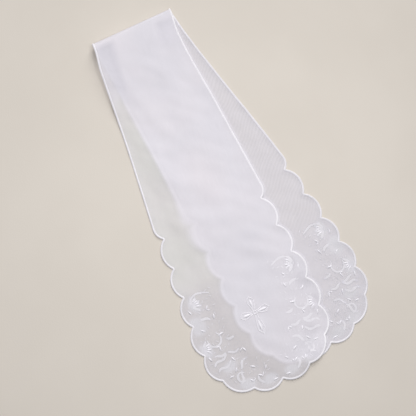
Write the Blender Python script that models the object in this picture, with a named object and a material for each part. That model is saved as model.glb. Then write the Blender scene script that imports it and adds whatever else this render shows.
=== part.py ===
"""A baptism stole: one long band of sheer organza with scalloped, embroidered ends.

The band is cut in one piece, 0.77 m long and notched into scallops round both ends. Its raw edge
is bound all round in satin stitch. It is folded once, near its middle, and lies flat: the upper limb
has its right side up, and the lower limb has its right side down. The fold is a soft roll that
stands higher at its left end.

Everything is worked out on the flat cut first: "station" is the distance along the band from its
mid-length, and "across" is the distance from its centre line. fold() then carries a point of the cut
to its place in the folded stole, and place() moves it out along the cloth's normal.
Metres, +Z up. The limbs run towards -Y from the fold, and the stole lies on z = 0.
"""

import math

import bmesh
import bpy
import numpy as np
from mathutils import Vector
from mathutils.geometry import delaunay_2d_cdt

MM = 0.001

# the cut of the band
NECK_HALF_WIDTH = 44.6 * MM
FLARE = 0.096  # gain in half width for each unit of length
NECK_EASE = 48.0 * MM  # the flare sets in over this length
SIDE_END = 197.9 * MM  # the plain side ends here and turns in to the first notch
CORNER_RISE = 1.9 * MM
SCALLOP_RISE = 6.5 * MM
NOTCHES = (  # station, half width
    (210.6 * MM, 54.0 * MM),
    (241.2 * MM, 56.8 * MM),
    (270.9 * MM, 59.4 * MM),
    (300.5 * MM, 62.1 * MM),
    (330.6 * MM, 62.6 * MM),
    (359.5 * MM, 55.5 * MM),
    (378.1 * MM, 29.9 * MM),
    (381.1 * MM, 0.0),
)

# cloth and satin edging
CLOTH = 1.0 * MM
HALF_CLOTH = CLOTH / 2
SEAM_GAP = 0.3 * MM
EDGING_WIDTH = 2.4 * MM
EDGING_HEIGHT = 1.5 * MM
WALL_INSET = EDGING_WIDTH + SEAM_GAP

# how the band is folded and laid
CREASE_STATION = -3.85 * MM  # the fold is this far from mid-length, so the upper limb is longer
CREASE_TURN = math.radians(4.0)  # the crease is turned this much, so the limbs spread by twice that
ROLL_RADIUS_LEFT = 6.0 * MM
ROLL_RADIUS_RIGHT = 2.2 * MM
SETTLE_LEFT = 85.0 * MM  # length over which the upper limb comes down from the roll
SETTLE_RIGHT = 60.0 * MM
LOWER_DRIFT = 5.4 * MM  # the lower limb drifts to the right by this much as it leaves the fold
LOWER_DRIFT_LENGTH = 200.0 * MM
UPPER_COURSE = (  # distance beyond the roll, how far the upper limb lies to the left there
    (0.0 * MM, 0.0 * MM),
    (25.0 * MM, 2.3 * MM),
    (110.0 * MM, 0.8 * MM),
    (200.0 * MM, 0.9 * MM),
    (290.0 * MM, 0.0 * MM),
)
CREASE_X = -2.43 * MM  # where the crease's middle lies, so that the origin is under the box's centre
CREASE_Y = 195.65 * MM

# height of the upper limb's underside over the lower limb, against the distance inside its edge
OVER_EDGING = 1.9 * MM
OVER_CLOTH = CLOTH + SEAM_GAP
FOOT_OUTSIDE = 20.0 * MM  # the upper limb reaches the surface this far outside the lower limb
SHOULDER_OUTSIDE = 5.0 * MM
PLATEAU_INSIDE = 12.0 * MM
SETTLED_INSIDE = 32.0 * MM

# soft waves of the upper limb, and two hollows beside the fold
WAVES = (  # station, across, direction in degrees, half length, half width, height
    (30 * MM, 10 * MM, 80, 34 * MM, 12 * MM, -0.8 * MM),
    (40 * MM, 4 * MM, 62, 42 * MM, 11 * MM, 0.7 * MM),
    (55 * MM, -38 * MM, 20, 24 * MM, 9 * MM, -0.7 * MM),
    (66 * MM, -22 * MM, 20, 34 * MM, 10 * MM, 1.5 * MM),
    (98 * MM, 18 * MM, 8, 60 * MM, 13 * MM, 1.0 * MM),
    (140 * MM, -28 * MM, 12, 48 * MM, 10 * MM, 1.3 * MM),
    (184 * MM, 6 * MM, 48, 46 * MM, 12 * MM, 1.4 * MM),
    (215 * MM, 10 * MM, 70, 40 * MM, 14 * MM, 1.6 * MM),
    (232 * MM, -6 * MM, 82, 52 * MM, 12 * MM, 1.0 * MM),
    (262 * MM, 40 * MM, 30, 34 * MM, 12 * MM, 0.9 * MM),
    (373 * MM, 37 * MM, -65, 22 * MM, 7 * MM, 2.0 * MM),
)

# padded leaves and flowers of the border, each set out from the crown of a scallop of the right half
FIRST_FIGURED_NOTCH = 2
LEAVES = (  # scallop, inwards from its crown, towards the tip, turn in degrees, size
    (0, 9 * MM, 1 * MM, 60, 0.9),
    (0, 30 * MM, 11 * MM, -80, 1.0),
    (1, 15 * MM, -8 * MM, 40, 0.9),
    (1, 30 * MM, 1 * MM, -15, 1.1),
    (2, 10 * MM, -9 * MM, 80, 1.0),
    (2, 24 * MM, 14 * MM, -40, 0.9),
    (2, 28 * MM, 4 * MM, 80, 1.0),
    (3, 13 * MM, -8 * MM, 50, 0.9),
    (3, 27 * MM, 10 * MM, 85, 1.0),
    (4, 9 * MM, 8 * MM, 80, 1.0),
    (4, 23 * MM, 2 * MM, 30, 0.8),
)
PAIRS = (  # the same, for two leaves that spread from one point
    (0, 26 * MM, 1 * MM, -60, 0.9),
    (1, 24 * MM, 14 * MM, 100, 0.9),
    (2, 42 * MM, 3 * MM, 75, 1.0),
    (3, 14 * MM, 12 * MM, -70, 0.9),
    (4, 17 * MM, -5 * MM, -60, 1.0),
)
FLOWERS = (  # the same, for a fan of strokes
    (0, 12 * MM, -4 * MM, -22, 1.0),
    (1, 7 * MM, 9 * MM, 8, 0.75),
)
LEAF_LENGTH = 5.2 * MM
LEAF_WIDTH = 1.6 * MM
LEAF_RISE = 0.6 * MM
PAIR_SPREAD = math.radians(78)
PAIR_GAP = 0.3 * MM
SMALL_LEAF = 0.7  # size of a pair's second leaf against its first
STROKES = 4
STROKE_FAN = math.radians(62)
STROKE_REACH = 6.2 * MM  # from a flower's foot to the middle of a stroke
STROKE_SIZE = 0.9

# the cross on the upper limb
CROSS_STATION = 311.4 * MM
CROSS_ARM = 15.5 * MM
CROSS_HEAD = 16.5 * MM
CROSS_FOOT = 22.5 * MM
CROSS_WAIST = 1.3 * MM  # half width of an arm at the crossing
CROSS_FLARE = 3.6 * MM  # half width of an arm where it is widest
CROSS_FLARE_AT = 0.8
CROSS_SLIM = 0.25  # share of the flare that an arm has half way out
CROSS_HEIGHT = 0.6 * MM
BAR_HEIGHT = 1.2 * MM
BAR_FROM, BAR_WIDEST, BAR_TO = 0.2, 0.62, 0.82
BAR_HALF_WIDTH = 1.3 * MM

# fineness of the meshes
SCALLOP_STEPS = 8
CORNER_STEPS = 4
SIDE_STEP = 12.5 * MM
ROLL_STEPS = 12
UPPER_GRID = 10.0 * MM
LOWER_GRID = 24.0 * MM
HUMP_STEP = 9.0 * MM
HUMP_FROM = 45.0 * MM  # nearer the fold the upper limb still hangs above the lower limb's edge
EDGE_MARGIN = 4.0 * MM
GRID_HALF_WIDTH = 70.0 * MM  # the even grids reach a little past the cut, and are trimmed to it
GRID_END = 390.0 * MM
UPPER_GRID_CLEAR = 8.0 * MM  # the even grids start this far from the roll
LOWER_GRID_CLEAR = 12.0 * MM
ROLL_POINTS_APART = 8.0 * MM
APART_FROM_DETAIL = 2.0 * MM  # least distance between the meshes' points
APART_FROM_LEAVES = 3.0 * MM
APART_FROM_LINES = 5.0 * MM
UNDER_COVER = 2.0 * MM  # a leaf of the lower limb shows when it is this far outside the upper limb
NORMAL_STEP = 0.05 * MM

ORGANZA = ("organza", (0.86, 0.85, 0.87, 1.0), 0.55)
SATIN_THREAD = ("satin_thread", (0.93, 0.92, 0.95, 1.0), 0.35)


# ---------------------------------------------------------------- the flat cut


def side_half_width(station):
    """Half width of the plain part: the neck's half width plus a flare that sets in softly."""
    return NECK_HALF_WIDTH + FLARE * (np.sqrt(station**2 + NECK_EASE**2) - NECK_EASE)


def crease_coordinates(station, across):
    """Distance past the crease, and distance along it, of a point of the cut."""
    s = station - CREASE_STATION
    past = s * math.cos(CREASE_TURN) + across * math.sin(CREASE_TURN)
    along = -s * math.sin(CREASE_TURN) + across * math.cos(CREASE_TURN)
    return past, along


def cut_coordinates(past, along):
    """Station and across of a point that is given by its place from the crease."""
    s = past * math.cos(CREASE_TURN) - along * math.sin(CREASE_TURN)
    across = past * math.sin(CREASE_TURN) + along * math.cos(CREASE_TURN)
    return s + CREASE_STATION, across


def along_crease(left, right, along):
    """A value that runs evenly from the crease's left end to its right end."""
    share = np.clip(along / NECK_HALF_WIDTH, -1.3, 1.3) / 2 + 0.5
    return left + (right - left) * share


def roll_radius(along):
    """Radius of the roll at a point along the crease."""
    return along_crease(ROLL_RADIUS_LEFT, ROLL_RADIUS_RIGHT, along)


def arc(start, end, rise, steps):
    """Points of a circular arc from start to end that stands off its chord by rise, to its left."""
    start, end = np.array(start), np.array(end)
    chord = end - start
    half = np.linalg.norm(chord) / 2
    radius = (half**2 + rise**2) / (2 * rise)
    forward = chord / (2 * half)
    left = np.array((-forward[1], forward[0]))
    centre = (start + end) / 2 - left * (radius - rise)
    swing = math.asin(half / radius)
    turn = np.linspace(-swing, swing, steps + 1)[:, None]
    return centre + radius * (np.sin(turn) * forward + np.cos(turn) * left)


def side_stations(side):
    """Stations of the plain side's points: rows across the roll, and even steps beyond it."""
    edge = side * NECK_HALF_WIDTH
    half_roll = math.pi / 2 * float(roll_radius(edge))
    past = np.linspace(-half_roll, half_roll, ROLL_STEPS + 1)
    roll = cut_coordinates(past, edge)[0]
    steps_down = round((SIDE_END + roll[0]) / SIDE_STEP)
    steps_up = round((SIDE_END - roll[-1]) / SIDE_STEP)
    lower = np.linspace(-SIDE_END, roll[0], steps_down + 1)[:-1]
    upper = np.linspace(roll[-1], SIDE_END, steps_up + 1)[1:]
    return np.concatenate((lower, roll, upper))


def cut_outline():
    """The cut's edge as (station, across): up the right side, round the upper end and back."""
    notches = np.array(NOTCHES)
    corner = np.array((SIDE_END, side_half_width(SIDE_END)))
    stretches = [arc(corner, notches[0], CORNER_RISE, CORNER_STEPS)[1:-1]]
    for first, second in zip(notches[:-1], notches[1:]):
        stretches.append(arc(first, second, SCALLOP_RISE, SCALLOP_STEPS)[:-1])
    half_end = np.concatenate(stretches)
    upper_end = np.concatenate((half_end, notches[-1:], half_end[::-1] * (1, -1)))
    lower_end = upper_end[::-1] * (-1, 1)
    right, left = side_stations(1), side_stations(-1)[::-1]
    right_side = np.stack((right, side_half_width(right)), 1)
    left_side = np.stack((left, -side_half_width(left)), 1)
    return np.concatenate((right_side, upper_end, left_side, lower_end))


def inset(outline, distance):
    """The outline moved in by a distance, with mitred corners: each edge stays an even way off."""
    before = outline - np.roll(outline, 1, axis=0)
    after = np.roll(outline, -1, axis=0) - outline
    left_of_before = np.stack((-before[:, 1], before[:, 0]), 1) / np.linalg.norm(before, axis=1)[:, None]
    left_of_after = np.stack((-after[:, 1], after[:, 0]), 1) / np.linalg.norm(after, axis=1)[:, None]
    mean = left_of_before + left_of_after
    mitre = 2 * mean / (mean**2).sum(1)[:, None]
    return outline - mitre * distance


def distance_inside(points, polygon):
    """Distance of each point to the polygon's edge, positive inside it."""
    a = polygon
    b = np.roll(polygon, -1, axis=0)
    edge = b - a
    rel = points[:, None, :] - a[None, :, :]
    share = np.clip((rel * edge).sum(2) / (edge**2).sum(1), 0, 1)
    gap = np.linalg.norm(rel - share[:, :, None] * edge, axis=2).min(1)
    straddles = (a[:, 1] > points[:, None, 1]) != (b[:, 1] > points[:, None, 1])
    rise = np.where(edge[:, 1] == 0, 1.0, edge[:, 1])
    crossing = a[:, 0] + (points[:, None, 1] - a[:, 1]) / rise * edge[:, 0]
    inside = (straddles & (points[:, None, 0] < crossing)).sum(1) % 2 == 1
    return np.where(inside, gap, -gap)


# ---------------------------------------------------------------- the folded stole


def smooth(x):
    """0 to 1 with level ends."""
    x = np.clip(x, 0, 1)
    return x * x * (3 - 2 * x)


def lower_drift(behind):
    """How far the lower limb has drifted to the right at a distance behind the crease."""
    return LOWER_DRIFT * smooth(behind / LOWER_DRIFT_LENGTH)


def upper_course(beyond):
    """How far the upper limb lies to the left of a straight course: eased steps from row to row."""
    left = np.zeros_like(beyond)
    for (start, before), (end, after) in zip(UPPER_COURSE[:-1], UPPER_COURSE[1:]):
        left += (after - before) * smooth((beyond - start) / (end - start))
    return left


def lower_limb_edge():
    """The lower limb's edge on the surface, drawn over the crowns of its scallops."""
    notches = np.array(NOTCHES) * (-1, 1)
    chord = np.diff(notches, axis=0)
    length = np.linalg.norm(chord, axis=1)[:, None]
    outward = np.stack((-chord[:, 1], chord[:, 0]), 1) / length
    outward *= np.sign((outward * notches[:-1]).sum(1))[:, None]
    crowns = (notches[:-1] + notches[1:]) / 2 + outward * SCALLOP_RISE
    stations = np.linspace(80 * MM, -SIDE_END, 12)
    side = np.concatenate((np.stack((stations, side_half_width(stations)), 1), crowns))
    whole = np.concatenate((side, side[::-1] * (1, -1)))
    past, along = crease_coordinates(whole[:, 0], whole[:, 1])
    return np.stack((along + lower_drift(-past), past), 1)


LOWER_EDGE = lower_limb_edge()


def lift_over_lower_limb(x, y):
    """Height of the upper limb's underside: none on the surface, and up over the edging and cloth."""
    inside = distance_inside(np.stack((x, y), 1), LOWER_EDGE)
    up = smooth((inside + FOOT_OUTSIDE) / (FOOT_OUTSIDE - SHOULDER_OUTSIDE))
    down = smooth((inside - PLATEAU_INSIDE) / (SETTLED_INSIDE - PLATEAU_INSIDE))
    return OVER_EDGING * up - (OVER_EDGING - OVER_CLOTH) * down


def wave_height(station, across):
    """Sum of long soft ridges, each a bell along and across its own direction."""
    height = np.zeros_like(station)
    for at, side, degrees, half_length, half_width, rise in WAVES:
        c, s = math.cos(math.radians(degrees)), math.sin(math.radians(degrees))
        along = (station - at) * c + (across - side) * s
        over = -(station - at) * s + (across - side) * c
        height += rise * np.exp(-((along / half_length) ** 2) - (over / half_width) ** 2)
    return height


def fold(station, across):
    """Middle surface of the cloth: the lower limb flat, a half turn round the roll, the upper limb."""
    past, along = crease_coordinates(station, across)
    radius = roll_radius(along)
    half_roll = math.pi / 2 * radius
    turn = np.clip(past / radius, -math.pi / 2, math.pi / 2)
    beyond = np.maximum(past - half_roll, 0)
    behind = np.maximum(-past - half_roll, 0)
    x = along + lower_drift(-past) - upper_course(beyond)
    y = -half_roll + radius * np.cos(turn) - beyond - behind
    settled = smooth(beyond / along_crease(SETTLE_LEFT, SETTLE_RIGHT, along))
    rest = lift_over_lower_limb(x, y) + wave_height(station, across)
    upper = 2 * radius * (1 - settled) + rest * settled
    z = np.where(beyond > 0, upper, radius * (1 + np.sin(turn)))
    return np.stack((x + CREASE_X, y + CREASE_Y, z + HALF_CLOTH), 1)


def place(station, across, out=0.0):
    """A point of the cut in the folded stole, moved out of the cloth's right side by out."""
    station, across = np.asarray(station, float), np.asarray(across, float)
    down = fold(station + NORMAL_STEP, across) - fold(station - NORMAL_STEP, across)
    over = fold(station, across + NORMAL_STEP) - fold(station, across - NORMAL_STEP)
    normal = np.cross(down, over)
    normal /= np.linalg.norm(normal, axis=1)[:, None]
    return fold(station, across) + normal * np.reshape(out, (-1, 1))


# ---------------------------------------------------------------- leaves and cross on the flat cut


def heading(angle):
    """Unit vector of an angle."""
    return np.array((math.cos(angle), math.sin(angle)))


def leaf_shape(centre, angle, size):
    """Outline and ridge of one padded leaf: two flat curves that meet in points."""
    forward = heading(angle) * LEAF_LENGTH / 2 * size
    sideways = heading(angle + math.pi / 2) * LEAF_WIDTH / 2 * size
    share = np.linspace(-1, 1, 5)[:, None]
    bulge = 1 - share**2
    near = centre + share * forward + bulge * sideways
    far = centre + share * forward - bulge * sideways
    outline = np.concatenate((near, far[-2:0:-1]))
    ridge = centre + np.array((-0.5, 0.0, 0.5))[:, None] * forward
    return outline, ridge


def set_out(scallop, inwards, towards_tip, turn):
    """Place and angle of a figure, from the crown of its scallop. Turn 0 looks inwards."""
    start, end = np.array(NOTCHES[FIRST_FIGURED_NOTCH + scallop:][:2])
    chord = end - start
    outward = math.atan2(chord[0], -chord[1])
    place_in_cut = (start + end) / 2 + (SCALLOP_RISE - inwards) * heading(outward)
    place_in_cut += towards_tip * heading(outward - math.pi / 2)
    return place_in_cut, outward + math.pi + math.radians(turn)


def end_leaves():
    """All leaves and strokes of one end as (centre, angle, size), on both sides."""
    right = []
    for *where, size in LEAVES:
        right.append((*set_out(*where), size))
    for *where, size in PAIRS:
        centre, angle = set_out(*where)
        right.append((centre, angle, size))
        second = angle + PAIR_SPREAD
        foot = centre - LEAF_LENGTH / 2 * size * heading(angle)
        reach = PAIR_GAP + LEAF_LENGTH / 2 * size * SMALL_LEAF
        right.append((foot + reach * heading(second), second, size * SMALL_LEAF))
    for *where, size in FLOWERS:
        foot, middle = set_out(*where)
        for angle in middle + np.linspace(-0.5, 0.5, STROKES) * STROKE_FAN:
            right.append((foot + STROKE_REACH * size * heading(angle), angle, size * STROKE_SIZE))
    left = [(centre * (1, -1), -angle, size) for centre, angle, size in right]
    return right + left


def cross_shape():
    """Outline of the cross, and each arm's raised bar: the arms widen and end in points."""
    arms = ((0.0, CROSS_FOOT), (90.0, CROSS_ARM), (180.0, CROSS_HEAD), (270.0, CROSS_ARM))
    outline = []
    bars = []
    for degrees, reach in arms:
        c, s = math.cos(math.radians(degrees)), math.sin(math.radians(degrees))
        turn = np.array(((c, s), (-s, c)))
        widest = CROSS_FLARE_AT * reach
        middle = (CROSS_WAIST + widest) / 2
        slim = CROSS_WAIST + CROSS_SLIM * (CROSS_FLARE - CROSS_WAIST)
        arm = np.array((
            (CROSS_WAIST, -CROSS_WAIST), (middle, -slim), (widest, -CROSS_FLARE), (reach, 0.0),
            (widest, CROSS_FLARE), (middle, slim),
        ))
        outline.append(arm @ turn)
        bar = np.array((
            (BAR_FROM * reach, 0.0), (BAR_WIDEST * reach, -BAR_HALF_WIDTH), (BAR_TO * reach, 0.0),
            (BAR_WIDEST * reach, BAR_HALF_WIDTH),
        ))
        bars.append((bar @ turn, np.array(((BAR_WIDEST * reach, 0.0),)) @ turn))
    place_on_band = np.array((CROSS_STATION, 0.0))
    outline = np.concatenate(outline) + place_on_band
    return outline, [(bar + place_on_band, ridge + place_on_band) for bar, ridge in bars]


# ---------------------------------------------------------------- meshes


def triangulate(loops, points):
    """Triangles inside the first loop that keep every loop as edges. Returns points and triangles."""
    corners = [Vector(p) for loop in loops for p in loop] + [Vector(p) for p in points]
    edges = []
    first = 0
    for loop in loops:
        count = len(loop)
        edges += [(first + i, first + (i + 1) % count) for i in range(count)]
        first += count
    inside_only = 1
    merge_under = 1e-6
    flat, _, faces, _, _, _ = delaunay_2d_cdt(corners, edges, [], inside_only, merge_under)
    return np.array([tuple(p) for p in flat]), [tuple(f) for f in faces]


def closed_solid(name, face, back, rim_count, parts):
    """A closed body from a face sheet and a back sheet whose first rim_count points form the rim.
    face and back are (3-D points, triangles), both wound the same way seen from the face."""
    face_points, face_triangles = face
    back_points, back_triangles = back
    mesh = bmesh.new()
    top = [mesh.verts.new(p) for p in face_points]
    under = [mesh.verts.new(p) for p in back_points]
    for triangle in face_triangles:
        mesh.faces.new([top[i] for i in triangle])
    for triangle in back_triangles:
        mesh.faces.new([under[i] for i in reversed(triangle)])
    for i in range(rim_count):
        j = (i + 1) % rim_count
        mesh.faces.new((top[j], top[i], under[i], under[j]))
    return finish_mesh(name, mesh, parts)


def finish_mesh(name, mesh, finish):
    """Turns every face outwards and links the mesh as a named object with its own material."""
    bmesh.ops.recalc_face_normals(mesh, faces=mesh.faces)
    if mesh.calc_volume(signed=True) < 0:
        bmesh.ops.reverse_faces(mesh, faces=mesh.faces)
    data = bpy.data.meshes.new(name)
    mesh.to_mesh(data)
    mesh.free()
    data.shade_smooth()
    data.set_sharp_from_angle(angle=math.radians(50))
    piece = bpy.data.objects.new(name, data)
    bpy.context.scene.collection.objects.link(piece)
    slot, colour, roughness = finish
    material = bpy.data.materials.new(f"{name}_{slot}")
    material.use_nodes = True
    shader = material.node_tree.nodes["Principled BSDF"]
    shader.inputs["Base Color"].default_value = colour
    shader.inputs["Roughness"].default_value = roughness
    shader.inputs["Metallic"].default_value = 0.0
    data.materials.append(material)
    return piece


def grid(step, low, high):
    """Even points over the band's whole width between two stations."""
    stations = np.arange(low, high, step)
    across = np.arange(-GRID_HALF_WIDTH, GRID_HALF_WIDTH, step) + step / 2
    s, t = np.meshgrid(stations, across, indexing="ij")
    return np.stack((s.ravel(), t.ravel()), 1)


def roll_rows():
    """Rows of points along the crease, as close together as the edge's own points on the roll."""
    along = np.arange(-NECK_HALF_WIDTH + EDGE_MARGIN, NECK_HALF_WIDTH - EDGE_MARGIN, ROLL_POINTS_APART)
    turn = np.linspace(-1, 1, ROLL_STEPS + 1)
    turn, along = np.meshgrid(turn, along, indexing="ij")
    past = turn * math.pi / 2 * roll_radius(along)
    station, across = cut_coordinates(past, along)
    return np.stack((station.ravel(), across.ravel()), 1)


def hump_rows():
    """Rows of points on the upper limb where it climbs over the lower limb's edge."""
    rows = []
    for inside in (-FOOT_OUTSIDE, -SHOULDER_OUTSIDE, PLATEAU_INSIDE / 2, SETTLED_INSIDE):
        line = inset(LOWER_EDGE, inside)
        run = np.concatenate(([0], np.cumsum(np.linalg.norm(np.diff(line, axis=0), axis=1))))
        even = np.arange(0, run[-1], HUMP_STEP)
        x, y = np.interp(even, run, line[:, 0]), np.interp(even, run, line[:, 1])
        station, across = cut_coordinates(-y, x)
        rows.append(np.stack((station, across), 1))
    rows = np.concatenate(rows)
    return rows[rows[:, 0] > HUMP_FROM]


def keep_apart(points, fixed, distance):
    """Drops the points that lie closer than distance to a fixed point."""
    gap = np.linalg.norm(points[:, None, :] - fixed[None, :, :], axis=2).min(1)
    return points[gap > distance]


def sheet(outline, leaves, inner, side, grid_points):
    """One side of the cloth wall: outline and grid at the wall's surface, leaves raised from it."""
    shapes = [leaf_shape(*leaf) for leaf in leaves]
    loops = [outline] + [shape[0] for shape in shapes]
    ridges = [shape[1] for shape in shapes]
    if ridges:
        detail = np.concatenate([shape[0] for shape in shapes] + ridges)
        inner = keep_apart(inner, detail, APART_FROM_DETAIL)
        grid_points = keep_apart(grid_points, detail, APART_FROM_LEAVES)
    grid_points = keep_apart(grid_points, inner, APART_FROM_LINES)
    loose = np.concatenate(ridges + [inner, grid_points])
    flat, triangles = triangulate(loops, loose)
    out = np.full(len(flat), HALF_CLOTH)
    if ridges:
        tops = np.concatenate(ridges)
        on_ridge = np.linalg.norm(flat[:, None, :] - tops[None, :, :], axis=2).min(1) < 0.01 * MM
        out[on_ridge] += LEAF_RISE
    return place(flat[:, 0], flat[:, 1], out * side), triangles


def organza_band():
    """The cloth: one wall, 1 mm thick, from the face's sheet and the wrong side's sheet."""
    outline = cut_outline()
    rim = inset(outline, WALL_INSET)
    roll = roll_rows()
    half_roll = math.pi / 2 * ROLL_RADIUS_LEFT
    upper = grid(UPPER_GRID, half_roll + UPPER_GRID_CLEAR, GRID_END)
    lower = grid(LOWER_GRID, -GRID_END, -half_roll - LOWER_GRID_CLEAR)
    hump = hump_rows()
    cross_outline, _ = cross_shape()
    shared = np.concatenate((roll, keep_apart(hump, roll, APART_FROM_LINES)))
    shared = keep_apart(shared, cross_outline, APART_FROM_DETAIL)
    shared = np.concatenate((shared, cross_outline))
    shared = shared[distance_inside(shared, rim) > EDGE_MARGIN]
    everywhere = np.concatenate((upper, lower))
    everywhere = everywhere[distance_inside(everywhere, rim) > EDGE_MARGIN]
    upper_leaves = end_leaves()
    face = sheet(rim, upper_leaves, shared, 1, everywhere)
    covered = upper_limb_on_surface(outline)
    lower_leaves = []
    for centre, angle, size in upper_leaves:
        mirrored = (centre * (-1, 1), math.pi - angle, size)
        points = place(*leaf_shape(*mirrored)[0].T)
        if distance_inside(points[:, :2], covered).max() < -UNDER_COVER:
            lower_leaves.append(mirrored)
    back = sheet(rim, lower_leaves, shared, -1, everywhere)
    return closed_solid("organza_band", face, back, len(rim), ORGANZA)


def upper_limb_on_surface(outline):
    """Plan of the upper limb's outline, as seen from above."""
    past, _ = crease_coordinates(outline[:, 0], outline[:, 1])
    upper = outline[past > 0]
    return place(upper[:, 0], upper[:, 1])[:, :2]


def satin_edging():
    """The bound edge: a six-sided bead swept once round the cut, flat where the band lies flat."""
    outline = cut_outline()
    section = (  # share of the width from the outside, share of half the height
        (0.0, 0.0), (0.2, 1.0), (0.8, 1.0), (1.0, 0.0), (0.8, -1.0), (0.2, -1.0),
    )
    past, along = crease_coordinates(outline[:, 0], outline[:, 1])
    turn = np.clip(past / roll_radius(along), -math.pi / 2, math.pi / 2)
    middle = (EDGING_HEIGHT - CLOTH) / 2 * np.sin(turn)
    rings = []
    for width_share, height_share in section:
        line = inset(outline, EDGING_WIDTH * width_share)
        rings.append(place(line[:, 0], line[:, 1], middle + EDGING_HEIGHT / 2 * height_share))
    mesh = bmesh.new()
    rows = [[mesh.verts.new(p) for p in ring] for ring in rings]
    count = len(outline)
    for i, row in enumerate(rows):
        other = rows[(i + 1) % len(rows)]
        for j in range(count):
            k = (j + 1) % count
            mesh.faces.new((row[j], row[k], other[k], other[j]))
    return finish_mesh("satin_edging", mesh, SATIN_THREAD)


def satin_cross():
    """The embroidered cross: a low plate with a padded bar on each arm, laid on the cloth."""
    outline, bars = cross_shape()
    loops = [outline] + [bar for bar, _ in bars]
    ridges = np.concatenate([ridge for _, ridge in bars])
    centre = np.array(((CROSS_STATION, 0.0),))
    flat, triangles = triangulate(loops, np.concatenate((ridges, centre)))
    seat = HALF_CLOTH + SEAM_GAP
    out = np.full(len(flat), seat + CROSS_HEIGHT)
    on_ridge = np.linalg.norm(flat[:, None, :] - ridges[None, :, :], axis=2).min(1) < 0.01 * MM
    out[on_ridge] = seat + BAR_HEIGHT
    face = (place(flat[:, 0], flat[:, 1], out), triangles)
    under_flat, under_triangles = triangulate([outline], centre)
    back = (place(under_flat[:, 0], under_flat[:, 1], seat), under_triangles)
    return closed_solid("satin_cross", face, back, len(outline), SATIN_THREAD)


def main():
    for old in list(bpy.data.objects):
        bpy.data.objects.remove(old, do_unlink=True)
    organza_band()
    satin_edging()
    satin_cross()


main()
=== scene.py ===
# %% [markdown]
# A baptism stole, folded once and laid flat
#
# The real object is one long band of sheer organza. Its ends are scalloped, its raw edge is bound in
# satin stitch, and a machine has embroidered a border of leaves, blossoms and tendrils and a small
# cross on it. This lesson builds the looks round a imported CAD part: the CAD solids say where the cloth
# lies, and each piece below is a finer form of one of them, or stitching that the solids leave out.
#
# The whole lesson rests on one idea. A seamstress marks a pattern on flat cloth, and the marks follow
# the cloth wherever it is folded. So every piece here is first worked out on the flat cut, and one
# function then folds the cut. Modelling each stitch where it lies in space would be the other way, and
# then every change of the fold would mean placing them all again.

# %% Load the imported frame
import math

import bpy
import numpy as np
from mathutils import Matrix, Vector


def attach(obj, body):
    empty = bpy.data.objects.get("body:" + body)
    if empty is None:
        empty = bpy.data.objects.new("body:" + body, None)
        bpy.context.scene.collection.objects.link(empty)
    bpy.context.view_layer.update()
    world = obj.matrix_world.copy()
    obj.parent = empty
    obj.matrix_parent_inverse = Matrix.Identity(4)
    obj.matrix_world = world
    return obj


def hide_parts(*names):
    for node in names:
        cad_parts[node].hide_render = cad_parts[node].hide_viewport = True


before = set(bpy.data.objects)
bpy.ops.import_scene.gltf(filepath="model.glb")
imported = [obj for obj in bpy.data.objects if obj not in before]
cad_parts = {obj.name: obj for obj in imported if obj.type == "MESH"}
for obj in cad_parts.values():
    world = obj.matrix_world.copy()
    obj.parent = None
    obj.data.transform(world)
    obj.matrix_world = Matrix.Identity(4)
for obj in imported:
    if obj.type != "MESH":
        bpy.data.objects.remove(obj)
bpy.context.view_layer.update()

MM = 0.001
print("CAD nodes:", ", ".join(sorted(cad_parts)))

# %% [markdown]
# The flat cut
#
# The band is straight-sided from the neck, widens towards each end and is then notched into
# scallops. It could be drawn as one long list of points, but a pattern maker thinks in fewer numbers:
# the neck's width, a flare, and the notches. Between two notches the edge is an arc of a circle. The
# cut is symmetrical, so a quarter of it is enough. "Station" is the distance along the band from its
# mid-length and "across" the distance from its centre line.

# %% Sizes of the cut
NECK_HALF_WIDTH, NECK_EASE, FLARE = 44.6 * MM, 48.0 * MM, 0.096
SIDE_END = 197.9 * MM
CORNER_RISE, SCALLOP_RISE = 1.9 * MM, 6.5 * MM
NOTCHES = np.array([  # station, half width
    (210.6, 54.0), (241.2, 56.8), (270.9, 59.4), (300.5, 62.1),
    (330.6, 62.6), (359.5, 55.5), (378.1, 29.9), (381.1, 0.0),
]) * MM
EDGING_WIDTH, EDGING_HEIGHT = 2.4 * MM, 1.5 * MM
FOLD_REACH, FOLD_STEP = 24.0 * MM, 0.45 * MM
EDGE_STEP = 1.0 * MM
SAME_PLACE = 1e-9

print("notches on a quarter of the cut:", len(NOTCHES))

# %% The edge of the cut


def polar(angle):
    """Unit vectors (cosine, sine) of angles."""
    return np.stack((np.cos(angle), np.sin(angle)), -1)


def turned(x, y, angle):
    """A place turned about zero: (x cosine - y sine, x sine + y cosine)."""
    c, s = math.cos(angle), math.sin(angle)
    return x * c - y * s, x * s + y * c


def side_half_width(station):
    """Neck half width plus a flare that sets in softly: flare times (root(station^2 + ease^2) - ease)."""
    return NECK_HALF_WIDTH + FLARE * (np.sqrt(station**2 + NECK_EASE**2) - NECK_EASE)


def side_stretch(step):
    """Points and outward normals of the plain side from mid-length to its end, closer in the fold."""
    fine = np.arange(0, FOLD_REACH, min(step, FOLD_STEP))
    rest = np.linspace(FOLD_REACH, SIDE_END, math.ceil((SIDE_END - FOLD_REACH) / step) + 1)
    station = np.concatenate((fine, rest))
    slope = FLARE * station / np.sqrt(station**2 + NECK_EASE**2)
    normal = np.stack((-slope, np.ones_like(slope)), 1) / np.sqrt(1 + slope**2)[:, None]
    return np.stack((station, side_half_width(station)), 1), normal


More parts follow.
